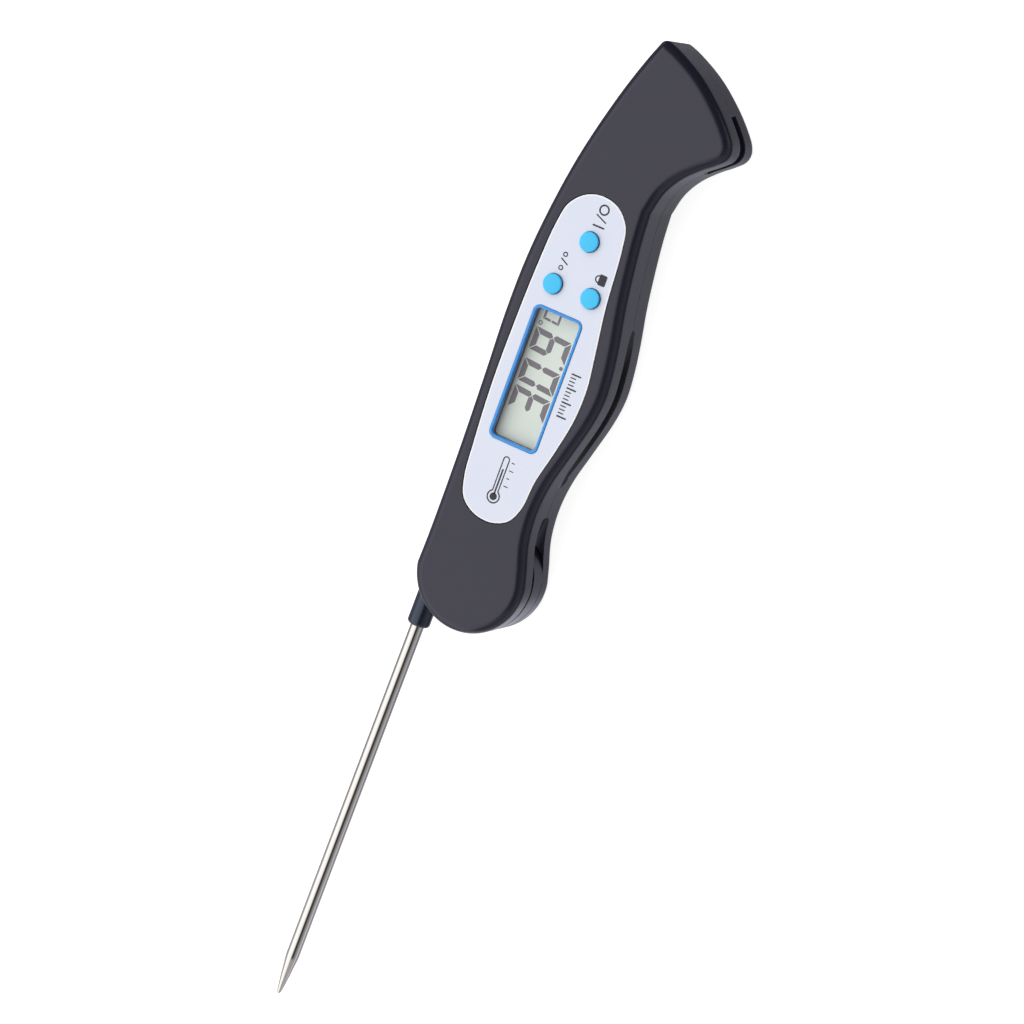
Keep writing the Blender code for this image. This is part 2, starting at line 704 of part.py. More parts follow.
def battery_door():
    door = lathe("battery_door",
                 [(0, 0.15), (7.9, 0.15), (DOOR_R, 0.5), (DOOR_R, DOOR_LEDGE),
                  (6.2, DOOR_LEDGE), (6.2, 2.6), (0, 2.6)], BAT_X, BAT_Y, 48)
    for turn in LUG_TURNS:
        add(door, battery_sector(7.4, LUG_R, turn + 20, turn + 44, 1.35, DOOR_LEDGE, 6))
    slot = []
    for point in rounded_box(0, 0, 10.5, 1.7, 0.8):
        x, y = turned(*point, SLOT_ANGLE)
        slot.append((BAT_X + x, BAT_Y + y))
    cut(door, prism("tool", slot, -2.0, 1.25))
    finish(door, color=(0.055, 0.055, 0.064), rough=0.45, origin=(BAT_X, BAT_Y, 0.0))

    seal = lathe("door_seal", circle(SEAL_R, SEAL_Z, SEAL_THICK_R, 8), BAT_X, BAT_Y, 36)
    finish(seal, color=(0.02, 0.02, 0.02), rough=0.65)


# ---------------------------------------------------------------- probe arm
def probe_hub():
    """Hub and sleeve in one piece."""
    recess_z = HUB_LOW + HUB_RECESS_DEPTH
    hub = lathe("probe_hub",
                [(HUB_BORE_R, recess_z), (HUB_BORE_R, HUB_HIGH),
                 (HUB_R - HUB_BEVEL, HUB_HIGH), (HUB_R, HUB_HIGH - HUB_BEVEL),
                 (HUB_R, HUB_LOW + HUB_BEVEL), (HUB_R - HUB_BEVEL, HUB_LOW),
                 (HUB_RECESS_R, HUB_LOW), (HUB_RECESS_R, recess_z)], sides=HUB_SIDES)
    add(hub, lathe("tool", [(0, 0.5), (SLEEVE_R, 0.5), (SLEEVE_R, SLEEVE_END - 0.7),
                            (SLEEVE_R - 0.2, SLEEVE_END - 0.2),
                            (SLEEVE_R - 0.7, SLEEVE_END), (0, SLEEVE_END)],
                   sides=28, along=True))
    bore_r = TUBE_R + 0.3
    cut(hub, lathe("tool", [(0, 3.5), (bore_r, 3.5), (bore_r, 30.0), (0, 30.0)],
                   along=True))
    # trough for the leads, from the sleeve's bore to the pivot
    cut(hub, prism("tool", rectangle(LEAD_TURN_X - TROUGH_HALF, 2.2,
                                     LEAD_TURN_X + TROUGH_HALF, PROBE_OFFSET + 0.6),
                   7.4, 14.0))
    cant(hub)
    finish(hub, color=(0.055, 0.055, 0.064), rough=0.32)


def probe_tube():
    """Steel tube, open at the hub and closed by its point."""
    outside = [(0, TUBE_TIP), (0.22, TUBE_TIP - 0.08), (0.46, 122.1), (0.74, 120.9),
               (1.22, 117.0), (TUBE_R, TUBE_TAPER), (TUBE_R, 60.0), (TUBE_R, TUBE_START)]
    inside = [(TUBE_BORE_R, TUBE_START), (TUBE_BORE_R, 109.4), (0.8, 110.3), (0, 110.5)]
    tube = lathe("probe_tube", outside + inside, sides=24, along=True)
    cant(tube)
    finish(tube, color=(0.72, 0.71, 0.69), rough=0.16, metal=1.0)


def sensor():
    """Bead in the end of the tube and its two leads."""
    bead = lathe("sensor_bead", [(0, 106.0), (0.55, 106.15), (0.9, 106.8), (0.95, 107.4),
                                 (0.85, 108.1), (0.5, 108.7), (0, 108.9)],
                 sides=16, along=True)
    cant(bead)
    finish(bead, color=(0.30, 0.10, 0.03), rough=0.30)

    for name, side, color in (("sensor_lead_1", 1, (0.55, 0.03, 0.02)),
                              ("sensor_lead_2", -1, (0.03, 0.03, 0.03))):
        y = PROBE_OFFSET + LEAD_SPACING * side
        x = LEAD_TURN_X + 0.55 * side
        path = [(-105.6, y), (x - 1.1, y), (x - 0.3, y - 0.3), (x, y - 1.1), (x, 5.2)]
        lead = wire(name, path, PROBE_Z, LEAD_R)
        cant(lead)
        finish(lead, color=color, rough=0.50)


# --------------------------------------------------------- pivot and screws
def wave_washer():
    """Three-wave spring washer under the hub."""
    mesh = bmesh.new()
    section = ((WASHER_INNER_R, -WASHER_HALF), (WASHER_OUTER_R, -WASHER_HALF),
               (WASHER_OUTER_R, WASHER_HALF), (WASHER_INNER_R, WASHER_HALF))
    rows = []
    for radius, rise in section:
        rows.append([mesh.verts.new((radius * math.cos(q), radius * math.sin(q),
                                     WASHER_Z + rise + WASHER_WAVE * math.sin(3 * q)))
                     for q in full_turn(36)])
    for row, following in zip(rows, rows[1:] + rows[:1]):
        bridge(mesh, row, following)
    washer = new_object("wave_washer", mesh)
    finish(washer, color=(0.62, 0.62, 0.60), rough=0.30, metal=1.0)


def pivot_pin():
    end_r = PIN_R - PIN_BEVEL
    pin = lathe("pivot_pin",
                [(0, PIN_LOW), (end_r, PIN_LOW), (PIN_R, PIN_LOW + PIN_BEVEL),
                 (PIN_R, PIN_HIGH - PIN_BEVEL), (end_r, PIN_HIGH), (0, PIN_HIGH)],
                sides=16)
    finish(pin, color=(0.55, 0.55, 0.55), rough=0.25, metal=1.0)


def case_screw(name, centre_x, centre_y):
    """Pan-head screw standing head down, with a cross recess."""
    screw = lathe(name, [(0, 0.4), (HEAD_R * 0.72, 0.4), (HEAD_R * 0.94, 0.62),
                         (HEAD_R, 0.95), (HEAD_R, HEAD_TOP), (SHANK_R, HEAD_TOP),
                         (SHANK_R, SCREW_END - 1.2), (0, SCREW_END)],
                  centre_x, centre_y, 16)
    arm, half = HEAD_R * 0.62, 0.26
    cross = [(half, half), (half, arm), (-half, arm), (-half, half),
             (-arm, half), (-arm, -half), (-half, -half), (-half, -arm),
             (half, -arm), (half, -half), (arm, -half), (arm, half)]
    plan = [(centre_x + x, centre_y + y) for x, y in cross]
    cut(screw, prism("tool", plan, -1.0, 0.95))
    finish(screw, color=(0.50, 0.50, 0.50), rough=0.30, metal=1.0)


# -------------------------------------------------------------------- build
for old in list(bpy.data.objects):
    bpy.data.objects.remove(old, do_unlink=True)

front_shell()
rear_shell()
face_plate()
display()
circuit_board()
for button_spec in BUTTONS:
    button(*button_spec)
battery_cell()
battery_contacts()
battery_door()
probe_hub()
probe_tube()
sensor()
wave_washer()
pivot_pin()
for screw_spec in CASE_SCREWS:
    case_screw(*screw_spec)
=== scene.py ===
"""Looks of a folding digital meat thermometer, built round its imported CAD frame.

The handle lies on its back with the face up (+Z). The hub's pivot is the origin, and the handle
runs from it along +X to the tail, with the spine towards +Y and the finger side towards -Y.
The probe is modelled opened out along -X and folds about Z into a groove in the finger side.

Shapes are in millimetres, and each mesh is turned into metres when it is finished.
Materials work in metres.
"""
import math

import bmesh
import bpy
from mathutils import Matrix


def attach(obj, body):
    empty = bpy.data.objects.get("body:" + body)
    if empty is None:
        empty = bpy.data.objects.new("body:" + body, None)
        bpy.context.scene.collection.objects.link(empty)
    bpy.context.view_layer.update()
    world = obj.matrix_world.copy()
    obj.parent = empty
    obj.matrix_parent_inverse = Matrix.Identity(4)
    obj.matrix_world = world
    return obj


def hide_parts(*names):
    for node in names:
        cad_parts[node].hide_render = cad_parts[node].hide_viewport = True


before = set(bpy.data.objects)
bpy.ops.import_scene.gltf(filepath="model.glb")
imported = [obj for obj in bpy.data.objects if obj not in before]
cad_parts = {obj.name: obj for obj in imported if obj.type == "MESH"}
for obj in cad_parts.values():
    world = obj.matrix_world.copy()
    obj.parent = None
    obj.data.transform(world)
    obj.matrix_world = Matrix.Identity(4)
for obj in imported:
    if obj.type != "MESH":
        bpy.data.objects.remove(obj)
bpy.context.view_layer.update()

MM = 0.001                  # metres in a millimetre

# ================================================================ dimensions
# Handle
THICK = 18.0
SPLIT = 8.5                 # height where the two shells meet
SEAM = 0.02                 # how far each shell stops short of it
LIP = 0.04                  # chamfer of the shells at the seam
R_END = 14.5                # round end about the pivot
FRONT_EDGE = 2.45           # rounding of the wall into the face
BACK_EDGE = 1.6             # rounding of the wall into the back
CORNER_R = 1.75             # tail corner in plan
WALL = 2.0
FLOOR = 2.0
CEILING = 15.6
SMOOTH_ANGLE = 32.0         # edges flatter than this are shaded smooth, degrees

# Probe arm: "distance" below is measured from the pivot along the probe
PROBE_Z = SPLIT
PROBE_OFFSET = 11.15        # probe axis from the pivot
REST_CANT = -0.6            # degrees
FOLD = 176.0                # degrees
FOLD_DIR = math.radians(180.0 + REST_CANT + FOLD)
SLEEVE_R = 2.9
SLEEVE_END = 19.3
NOTCH_R = 3.08              # channel for the folded sleeve
CHANNEL_TOP = PROBE_OFFSET - 2.25
TUBE_R = 1.75
TUBE_BORE = 1.35
TUBE_START = 7.0
TUBE_TAPER = 112.3
TUBE_TIP = 122.6
HUB_T = 5.9
HUB_R = R_END - 0.03
HUB_BORE = 3.35
CHEEK_GAP = 0.3             # between the hub and the shell above and below
CHEEK_LOW = PROBE_Z - HUB_T / 2 - CHEEK_GAP
CHEEK_HIGH = PROBE_Z + HUB_T / 2 + CHEEK_GAP
POCKET_TOP = PROBE_Z + SLEEVE_R + 0.12
HUB_LOW = CHEEK_LOW + 0.02
HUB_HIGH = POCKET_TOP - 0.74
PIN_R = 1.2
PIN_HOLE_R = PIN_R + 0.15

# Face plate, display frame and buttons
FACE_ROLL = 0.10            # rounding of the plate's edge
FACE_EDGE = 17.95           # height where that rounding starts
FACE_TOP = FACE_EDGE + FACE_ROLL
LCD_X, LCD_Y = 51.2, 1.1
FRAME_L = 34.6
FRAME_W = 13.45
FRAME_R = 1.9
FRAME_RIM = 0.78
FRAME_ROLL = 0.30
BUTTONS = (("power", 87.0, 0.2), ("unit", 74.3, 5.3), ("hold", 74.5, -5.0))    # name, x, y
CAP_R = 2.47
CAP_EDGE = 18.62            # height where the cap's rounding starts
CAP_ROUND = 0.28
CAP_TOP = 19.0

# Battery and its door
BAT_X, BAT_Y = 88.5, 0.8
CELL_R = 5.8
DOOR_R = 8.3
LUG_R = 9.2

# Case screws: name, x, y
CASE_SCREWS = (("case_screw_1", 22.5, 8.6), ("case_screw_2", 22.5, -4.6),
               ("case_screw_3", 105.0, -0.5), ("case_screw_4", 132.0, -2.6))

# Main bay and the posts in it (x, y)
BAY_X0, BAY_X1 = 28.5, 101.2
FRONT_POSTS = ((30.2, 8.0), (30.2, -6.5), (98.9, 6.6), (98.9, -5.2))
BACK_POSTS = ((30.2, 8.0), (30.2, -6.5), (74.0, 9.8), (74.0, -8.8))

# Measured plans, all (x, y). The first three run on from one another, clockwise.
SPINE = [(-2.5, 14.28), (4.0, 14.1), (14.0, 14.05), (30.0, 14.2), (48.0, 14.65), (64.0, 15.15),
         (78.0, 14.85), (92.0, 13.4), (106.0, 11.0), (122.0, 6.8), (132.0, 3.4), (138.55, 0.72)]
TAIL = [(138.55, 0.72), (136.95, -3.75), (133.15, -11.1), (127.9, -17.9), (123.8, -22.0),
        (121.3, -23.95), (119.2, -24.7), (117.0, -24.2), (114.9, -22.1), (112.3, -18.85),
        (108.6, -15.15), (104.0, -12.4), (98.5, -11.0)]
FINGER = [(98.5, -11.0), (92.0, -11.4), (84.0, -12.3), (75.0, -13.6), (66.0, -15.35),
          (58.5, -16.45), (52.5, -16.8), (46.0, -15.95), (37.0, -13.6), (28.0, -11.25),
          (20.5, -10.5), (13.0, -11.2), (6.5, -13.15), (2.5, -14.28)]
FACE = [(98.3, 1.0), (97.1, 5.3), (93.6, 8.7), (88.4, 9.97), (78.0, 10.78), (62.0, 11.3),
        (46.0, 11.33), (32.0, 10.62), (22.0, 9.72), (17.3, 8.0), (14.7, 4.0), (14.4, -0.8),
        (16.4, -4.9), (20.5, -7.0), (28.0, -7.9), (37.0, -10.1), (46.0, -11.85), (54.0, -12.12),
        (62.0, -11.1), (74.0, -9.4), (88.0, -8.2), (93.6, -7.0), (97.2, -3.6)]
TAIL_BAY = [(118.0, 5.7), (127.5, 2.6), (127.5, -9.0), (122.0, -15.6), (113.6, -14.9),
            (109.0, -12.4), (109.0, 8.0)]


# ==================================================================== curves
def spline(stations, per):
    """Centripetal Catmull-Rom curve through the stations, with per points to a span."""
    first = tuple(2 * a - b for a, b in zip(stations[0], stations[1]))
    last = tuple(2 * a - b for a, b in zip(stations[-1], stations[-2]))
    points = [first] + list(stations) + [last]

    def between(a, b, time_a, time_b, time):
        return (time_b - time) / (time_b - time_a) * a + (time - time_a) / (time_b - time_a) * b

    out = []
    for i in range(1, len(points) - 2):
        p0, p1, p2, p3 = points[i - 1:i + 3]
        t0 = 0.0
        t1 = t0 + math.dist(p0, p1) ** 0.5
        t2 = t1 + math.dist(p1, p2) ** 0.5
        t3 = t2 + math.dist(p2, p3) ** 0.5
        for k in range(per):
            t = t1 + (t2 - t1) * k / per
            point = []
            for axis in range(2):
                a1 = between(p0[axis], p1[axis], t0, t1, t)
                a2 = between(p1[axis], p2[axis], t1, t2, t)
                a3 = between(p2[axis], p3[axis], t2, t3, t)
                b1 = between(a1, a2, t0, t2, t)
                b2 = between(a2, a3, t1, t3, t)
                point.append(between(b1, b2, t1, t2, t))
            out.append(tuple(point))
    out.append(tuple(stations[-1]))
    return out


def closed_spline(stations, per):
    wrapped = spline([stations[-1]] + list(stations) + list(stations[:3]), per)
    return wrapped[per:per + len(stations) * per]


def arc(x, y, radius, start, end, count):
    """count points from start to end, in degrees; also rounds (radius, height) profiles."""
    angles = [math.radians(start + (end - start) * k / (count - 1)) for k in range(count)]
    return [(x + radius * math.cos(a), y + radius * math.sin(a)) for a in angles]


def circle(x, y, radius, sides):
    angles = [2 * math.pi * k / sides for k in range(sides)]
    return [(x + radius * math.cos(a), y + radius * math.sin(a)) for a in angles]


def rounded_box(x, y, length, width, radius, count=9):
    """Rectangle about (x, y) with count points to each rounded corner."""
    half_x, half_y = length / 2 - radius, width / 2 - radius
    points = []
    for side_x, side_y, start in ((1, 1, 0), (-1, 1, 90), (-1, -1, 180), (1, -1, 270)):
        points += arc(x + side_x * half_x, y + side_y * half_y, radius, start, start + 90, count)
    return points


def turned(loop, x, y, degrees):
    """Loop about the origin, turned and moved to (x, y)."""
    cos, sin = math.cos(math.radians(degrees)), math.sin(math.radians(degrees))
    return [(x + u * cos - v * sin, y + u * sin + v * cos) for u, v in loop]


def offset(loop, distance):
    """Anticlockwise loop moved inwards, mitred at every point."""
    out = []
    for i, (x, y) in enumerate(loop):
        last_x, last_y = loop[i - 1]
        next_x, next_y = loop[(i + 1) % len(loop)]
        in_x, in_y = x - last_x, y - last_y
        out_x, out_y = next_x - x, next_y - y
        in_length, out_length = math.hypot(in_x, in_y), math.hypot(out_x, out_y)
        mitre_x = -in_y / in_length - out_y / out_length
        mitre_y = in_x / in_length + out_x / out_length
        # the limit keeps sharp corners from shooting out
        reach = 2.0 / max(0.35, mitre_x * mitre_x + mitre_y * mitre_y)
        out.append((x + distance * mitre_x * reach, y + distance * mitre_y * reach))
    return out


def evened(points, step):
    """Open curve resampled at equal steps, so edge rings stay even."""
    run = [0.0]
    for a, b in zip(points, points[1:]):
        run.append(run[-1] + math.dist(a, b))
    count = max(2, round(run[-1] / step))
    out, i = [], 0
    for k in range(count + 1):
        target = run[-1] * k / count
        while i < len(run) - 2 and run[i + 1] < target:
            i += 1
        t = (target - run[i]) / (run[i + 1] - run[i])
        (x0, y0), (x1, y1) = points[i], points[i + 1]
        out.append((x0 + t * (x1 - x0), y0 + t * (y1 - y0)))
    return out


def outline():
    """Side wall of the handle, anticlockwise from the finger side of the round end.

    The tail's corner is one sharp point here; inset() rounds it.
    """
    corner = TAIL[0]
    clear = 3.3             # no other points this close to the corner
    finger = evened(spline(FINGER, 12)[::-1], 1.3)
    tail = evened(spline(TAIL, 12)[::-1], 0.9)
    spine = evened(spline(SPINE, 12)[::-1], 1.6)
    tail = [p for p in tail if math.dist(p, corner) > clear] + [corner]
    spine = [p for p in spine if math.dist(p, corner) > clear]
    start = math.degrees(math.atan2(SPINE[0][1], SPINE[0][0]))
    end = 360.0 + math.degrees(math.atan2(FINGER[-1][1], FINGER[-1][0]))
    return finger + tail[1:] + spine + arc(0, 0, R_END, start, end, 56)[1:-1]


HANDLE_LOOP = outline()
FACE_LOOP = closed_spline(FACE, 10)


def inset(distance):
    """Plan of the handle moved inwards, with the tail's corner rounded."""
    at = HANDLE_LOOP.index(TAIL[0])
    moved = offset(HANDLE_LOOP, distance)
    (last_x, last_y), (x, y), (next_x, next_y) = moved[at - 1:at + 2]
    last_length = math.hypot(last_x - x, last_y - y)
    next_length = math.hypot(next_x - x, next_y - y)
    back_x, back_y = (last_x - x) / last_length, (last_y - y) / last_length
    on_x, on_y = (next_x - x) / next_length, (next_y - y) / next_length
    half = math.acos(back_x * on_x + back_y * on_y) / 2
    radius = max(CORNER_R - distance, 0.3)
    mid_x, mid_y = back_x + on_x, back_y + on_y
    reach = radius / math.sin(half) / math.hypot(mid_x, mid_y)
    start = math.degrees(math.atan2(back_x, -back_y))
    end = start + 180.0 - math.degrees(2 * half)
    rounding = arc(x + mid_x * reach, y + mid_y * reach, radius, start, end, 10)
    return moved[:at] + rounding + moved[at + 1:]


def y_at(curve, x):
    points = sorted(curve)
    for (x0, y0), (x1, y1) in zip(points, points[1:]):
        if x0 <= x <= x1:
            return y0 + (y1 - y0) * (x - x0) / (x1 - x0)
    return points[-1][1]


def folded(along, away):
    """Point by its distance along the folded probe and away from the spine."""
    dir_x, dir_y = math.cos(FOLD_DIR), math.sin(FOLD_DIR)
    return (along * dir_x + away * dir_y, along * dir_y - away * dir_x)


def roof_y(x):
    """Spine side of the probe groove at x."""
    x0, y0 = folded(0.0, CHANNEL_TOP)
    x1, y1 = folded(100.0, CHANNEL_TOP)
    return y0 + (y1 - y0) * (x - x0) / (x1 - x0)


def main_bay(steps=24):
    """Plan of the bay between the spine wall and whichever is nearer of finger wall and groove."""
    spine, finger = spline(SPINE, 6), spline(FINGER, 6)
    groove_wall = 1.4
    low, high = [], []
    for k in range(steps + 1):
        x = BAY_X0 + (BAY_X1 - BAY_X0) * k / steps
        low.append((x, max(y_at(finger, x) + WALL, roof_y(x) + groove_wall)))
        high.append((x, y_at(spine, x) - WALL))
    return low + high[::-1]


def within(loop, x, y):
    inside = False
    for (x0, y0), (x1, y1) in zip(loop, loop[1:] + loop[:1]):
        if (y0 > y) != (y1 > y) and x < (x1 - x0) * (y - y0) / (y1 - y0) + x0:
            inside = not inside
    return inside


# ==================================================================== meshes
def raised(loop, z):
    return [(x, y, z) for x, y in loop]


def linked(name, bm):
    """Object in the scene, made from a finished bmesh."""
    mesh = bpy.data.meshes.new(name)
    bm.to_mesh(mesh)
    bm.free()
    ob = bpy.data.objects.new(name, mesh)
    bpy.context.scene.collection.objects.link(ob)
    return ob


def welded(name, bm):
    bmesh.ops.remove_doubles(bm, verts=bm.verts, dist=1e-4)
    bmesh.ops.recalc_face_normals(bm, faces=bm.faces[:])
    return linked(name, bm)


def pairs(rows, closed=False):
    return list(zip(rows, rows[1:])) + ([(rows[-1], rows[0])] if closed else [])


def band(bm, lower, upper):
    """Faces between two rows of vertices, either of which may be a single pole."""
    count = max(len(lower), len(upper))
    for i in range(count):
        j = (i + 1) % count
        if len(lower) == 1:
            bm.faces.new((lower[0], upper[j], upper[i]))
        elif len(upper) == 1:
            bm.faces.new((lower[i], lower[j], upper[0]))
        else:
            bm.faces.new((lower[i], lower[j], upper[j], upper[i]))


def skin(bm, rings, closed=False):
    """Faces over a stack of rings: capped at both ends, or closed on itself."""
    rows = [[bm.verts.new(p) for p in ring] for ring in rings]
    for lower, upper in pairs(rows, closed):
        band(bm, lower, upper)
    if not closed:
        bm.faces.new(rows[0][::-1])
        bm.faces.new(rows[-1])


def loft(rings, name="tool", closed=False):
    bm = bmesh.new()
    skin(bm, rings, closed)
    return welded(name, bm)


def prism(loop, low, high):
    return loft([raised(loop, low), raised(loop, high)])


def cylinder(x, y, radius, low, high, sides):
    return prism(circle(x, y, radius, sides), low, high)


def block(x0, y0, x1, y1, low, high):
    return prism([(x0, y0), (x1, y0), (x1, y1), (x0, y1)], low, high)


def battery_sector(inner, outer, start, end, low, high, count=24):
    """Part of a flat ring about the battery, from start to end in degrees."""
    return prism(arc(BAT_X, BAT_Y, outer, start, end, count)
                 + arc(BAT_X, BAT_Y, inner, end, start, count), low, high)


def round_probe(radius, distance, angle):
    return (-distance, PROBE_OFFSET + radius * math.cos(angle),
            PROBE_Z + radius * math.sin(angle))


def lathe(profile, x=0.0, y=0.0, sides=48, name="tool", on_probe=False):
    """Solid of revolution about the vertical at (x, y), or about the probe's axis.

    The profile is (radius, height or distance). A radius of 0 closes a pole; with no pole
    the profile closes on itself.
    """
    def place(radius, height, angle):
        if on_probe:
            return round_probe(radius, height, angle)
        return (x + radius * math.cos(angle), y + radius * math.sin(angle), height)

    bm = bmesh.new()
    rows = []
    for radius, height in profile:
        angles = [2 * math.pi * k / sides for k in range(sides)] if radius else [0.0]
        rows.append([bm.verts.new(place(radius, height, a)) for a in angles])
    for lower, upper in pairs(rows, closed=all(radius > 0 for radius, _ in profile)):
        band(bm, lower, upper)
    return welded(name, bm)


def boolean(ob, tool, operation):
    mod = ob.modifiers.new("cut", 'BOOLEAN')
    mod.operation = operation
    mod.solver = 'EXACT'
    mod.object = tool
    bpy.context.view_layer.update()
    with bpy.context.temp_override(object=ob, active_object=ob, selected_objects=[ob]):
        bpy.ops.object.modifier_apply(modifier=mod.name)
    data = tool.data
    bpy.data.objects.remove(tool, do_unlink=True)
    bpy.data.meshes.remove(data)
    bm = bmesh.new()
    bm.from_mesh(ob.data)
    bmesh.ops.remove_doubles(bm, verts=bm.verts, dist=1e-4)
    bmesh.ops.dissolve_degenerate(bm, edges=bm.edges[:], dist=1e-4)
    bm.to_mesh(ob.data)
    bm.free()


def cut(ob, *tools):
    for tool in tools:
        boolean(ob, tool, 'DIFFERENCE')


def add(ob, *tools):
    for tool in tools:
        boolean(ob, tool, 'UNION')


def cant_about_pivot(ob):
    """Turn a piece of the arm to the cant it rests at."""
    cos, sin = math.cos(math.radians(REST_CANT)), math.sin(math.radians(REST_CANT))
    for v in ob.data.vertices:
        x, y = v.co.x, v.co.y
        v.co.x, v.co.y = x * cos - y * sin, x * sin + y * cos


def done(ob, body, slot, *materials, replaces=True, weighted=True):
    """Finish a piece: metres, materials, smooth shading and the body it rides on; when it replaces
    the CAD piece in its slot, that piece is hidden.
    """
    for v in ob.data.vertices:
        v.co = v.co * MM
    ob.data.materials.clear()
    for material in materials:
        ob.data.materials.append(material)
    with bpy.context.temp_override(object=ob, active_object=ob, selected_objects=[ob],
                                   selected_editable_objects=[ob]):
        bpy.ops.object.shade_smooth_by_angle(angle=math.radians(SMOOTH_ANGLE))
    if weighted:
        mod = ob.modifiers.new("even_normals", 'WEIGHTED_NORMAL')
        mod.keep_sharp = True
        mod.weight = 80
    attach(ob, body)
    if replaces:
        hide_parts(slot)


# ================================================================ node trees
class Nodes:
    """Short-hand for a node tree; an input takes a number, a colour or another's output."""

    def __init__(self, owner, output):
        owner.use_nodes = True
        self.tree = owner.node_tree
        self.tree.nodes.clear()
        self.output = self.new(output)

    def feed(self, socket, value):
        if isinstance(value, bpy.types.NodeSocket):
            self.tree.links.new(value, socket)
            return
        if isinstance(value, tuple) and len(socket.default_value) == 4:
            value += (1.0,)     # colours are opaque
        socket.default_value = value

    def new(self, kind, inputs=None, **settings):
        node = self.tree.nodes.new("ShaderNode" + kind)
        for key, value in settings.items():
            setattr(node, key, value)
        for key, value in (inputs or {}).items():
            self.feed(node.inputs[key], value)
        return node

    def span(self, value, source, target=(0.0, 1.0)):
        """The source range taken to the target range, clamped."""
        return self.new("MapRange", {
            "From Min": source[0], "From Max": source[1],
            "To Min": target[0], "To Max": target[1], "Value": value}).outputs["Result"]

    def spread(self, noise, low, high):
        """The middle of a noise, where most of it lies, taken to low..high."""
        return self.span(noise, (0.3, 0.7), (low, high))

    def math(self, operation, a, b=0.0, c=None):
        inputs = {0: a, 1: b}
        if c is not None:
            inputs[2] = c
        return self.new("Math", inputs, operation=operation).outputs[0]

    def product(self, a, b):
        return self.math('MULTIPLY', a, b)

    def mix(self, amount, a, b, blend='MIX'):
        return self.new("Mix", {0: amount, 6: a, 7: b}, data_type='RGBA',
                        blend_type=blend).outputs[2]

    def mix_shader(self, amount, a, b):
        return self.new("MixShader", {0: amount, 1: a, 2: b}).outputs[0]

    def split(self, vector):
        return self.new("SeparateXYZ", {0: vector}).outputs

    def half_turn(self, z, y):
        """Elevation seen along X: 0 towards +Y, 0.5 straight up, 1 towards -Y."""
        return self.math('DIVIDE', self.math('ARCTAN2', z, y), math.pi)

    def tone_ramp(self, fraction, levels, tint):
        """Tinted grey by angle; levels are (degrees of a half turn, brightness)."""
        node = self.new("ValToRGB", {0: fraction})
        elements = node.color_ramp.elements
        elements[0].position, elements[1].position = 0.0, 1.0
        for degrees, _ in levels[1:-1]:
            elements.new(degrees / 180.0)
        for element, (_, level) in zip(elements, levels):
            element.color = tuple(level * part for part in tint) + (1,)
        return node.outputs[0]


class Material(Nodes):
    """Node tree of a new material, in the object's own coordinates."""

    def __init__(self, name):
        self.material = bpy.data.materials.new(name)
        super().__init__(self.material, "OutputMaterial")
        self.coords = self.new("TexCoord").outputs["Object"]

    def surface(self, shader):
        self.feed(self.output.inputs[0], shader)
        return self.material

    def principled(self, inputs):
        return self.surface(self.new("BsdfPrincipled", inputs).outputs[0])

    def stretched(self, scale, turn=0.0):
        """Coordinates scaled along each axis and turned about Z (radians)."""
        return self.new("Mapping", {"Scale": scale, "Rotation": (0, 0, turn),
                                    0: self.coords}).outputs[0]

    def noise(self, scale, detail, rough, at=None):
        return self.new("TexNoise", {"Scale": scale, "Detail": detail, "Roughness": rough,
                                     "Vector": at or self.coords}).outputs["Fac"]

    def bump(self, height, distance, normal=None):
        """distance is in millimetres."""
        inputs = {"Distance": distance * MM, "Strength": 1.0, "Height": height}
        if normal is not None:
            inputs["Normal"] = normal
        return self.new("Bump", inputs).outputs[0]

    def bevel(self, radius):
        """Normals rounded over edges, radius in millimetres; None for no rounding."""
        if not radius:
            return None
        return self.new("Bevel", {"Radius": radius * MM}, samples=6).outputs[0]

    def worn_edge(self, bevelled):
        """How far the bevelled normal leaves the true one: 0 on faces, rising on edges."""
        true = self.new("NewGeometry").outputs["Normal"]
        dot = self.new("VectorMath", {0: bevelled, 1: true}, operation='DOT_PRODUCT')
        return self.span(dot.outputs["Value"], (0.995, 0.80))


def shade(colour, factor):
    return tuple(min(1.0, part * factor) for part in colour)


# ================================================================= materials
# grain: fineness of the skin; depth: its relief, mm; edge: radius of softened edges, mm;
# wear: how polished those edges are; sheen: specular level and tint
def moulded(name, colour, rough, grain=5200.0, depth=0.006, edge=0.22, wear=0.35, sheen=None):
    """Moulded plastic: eroded grain, hand marks in the gloss, slightly polished soft edges."""
    g = Material(name)
    normal = g.bevel(edge)
    fine = g.noise(scale=grain, detail=3.0, rough=0.6)
    mottle = g.noise(scale=420.0, detail=5.0, rough=0.6)
    broad = g.noise(scale=38.0, detail=4.0, rough=0.5)
    streaks = g.noise(scale=900.0, detail=2.0, rough=0.5,
                      at=g.stretched((0.06, 1.0, 1.0), turn=0.5))
    scuffs = g.span(streaks, (0.66, 0.74))
    dull = g.math('ADD', g.spread(broad, rough - 0.03, rough + 0.04),
                  g.spread(mottle, -0.02, 0.02))
    dull = g.math('ADD', dull, g.product(scuffs, 0.035))
    tone = g.mix(mottle, shade(colour, 0.94), shade(colour, 1.07))
    if edge:
        worn = g.worn_edge(normal)
        dull = g.math('SUBTRACT', dull, g.product(worn, 0.10 * wear))
        tone = g.mix(g.product(worn, 0.30 * wear), tone, shade(colour, 1.9))
    inputs = {"Base Color": tone, "Roughness": dull, "IOR": 1.5,
              "Normal": g.bump(fine, depth, normal)}
    if sheen:
        inputs["Specular IOR Level"], inputs["Specular Tint"] = sheen
    return g.principled(inputs)


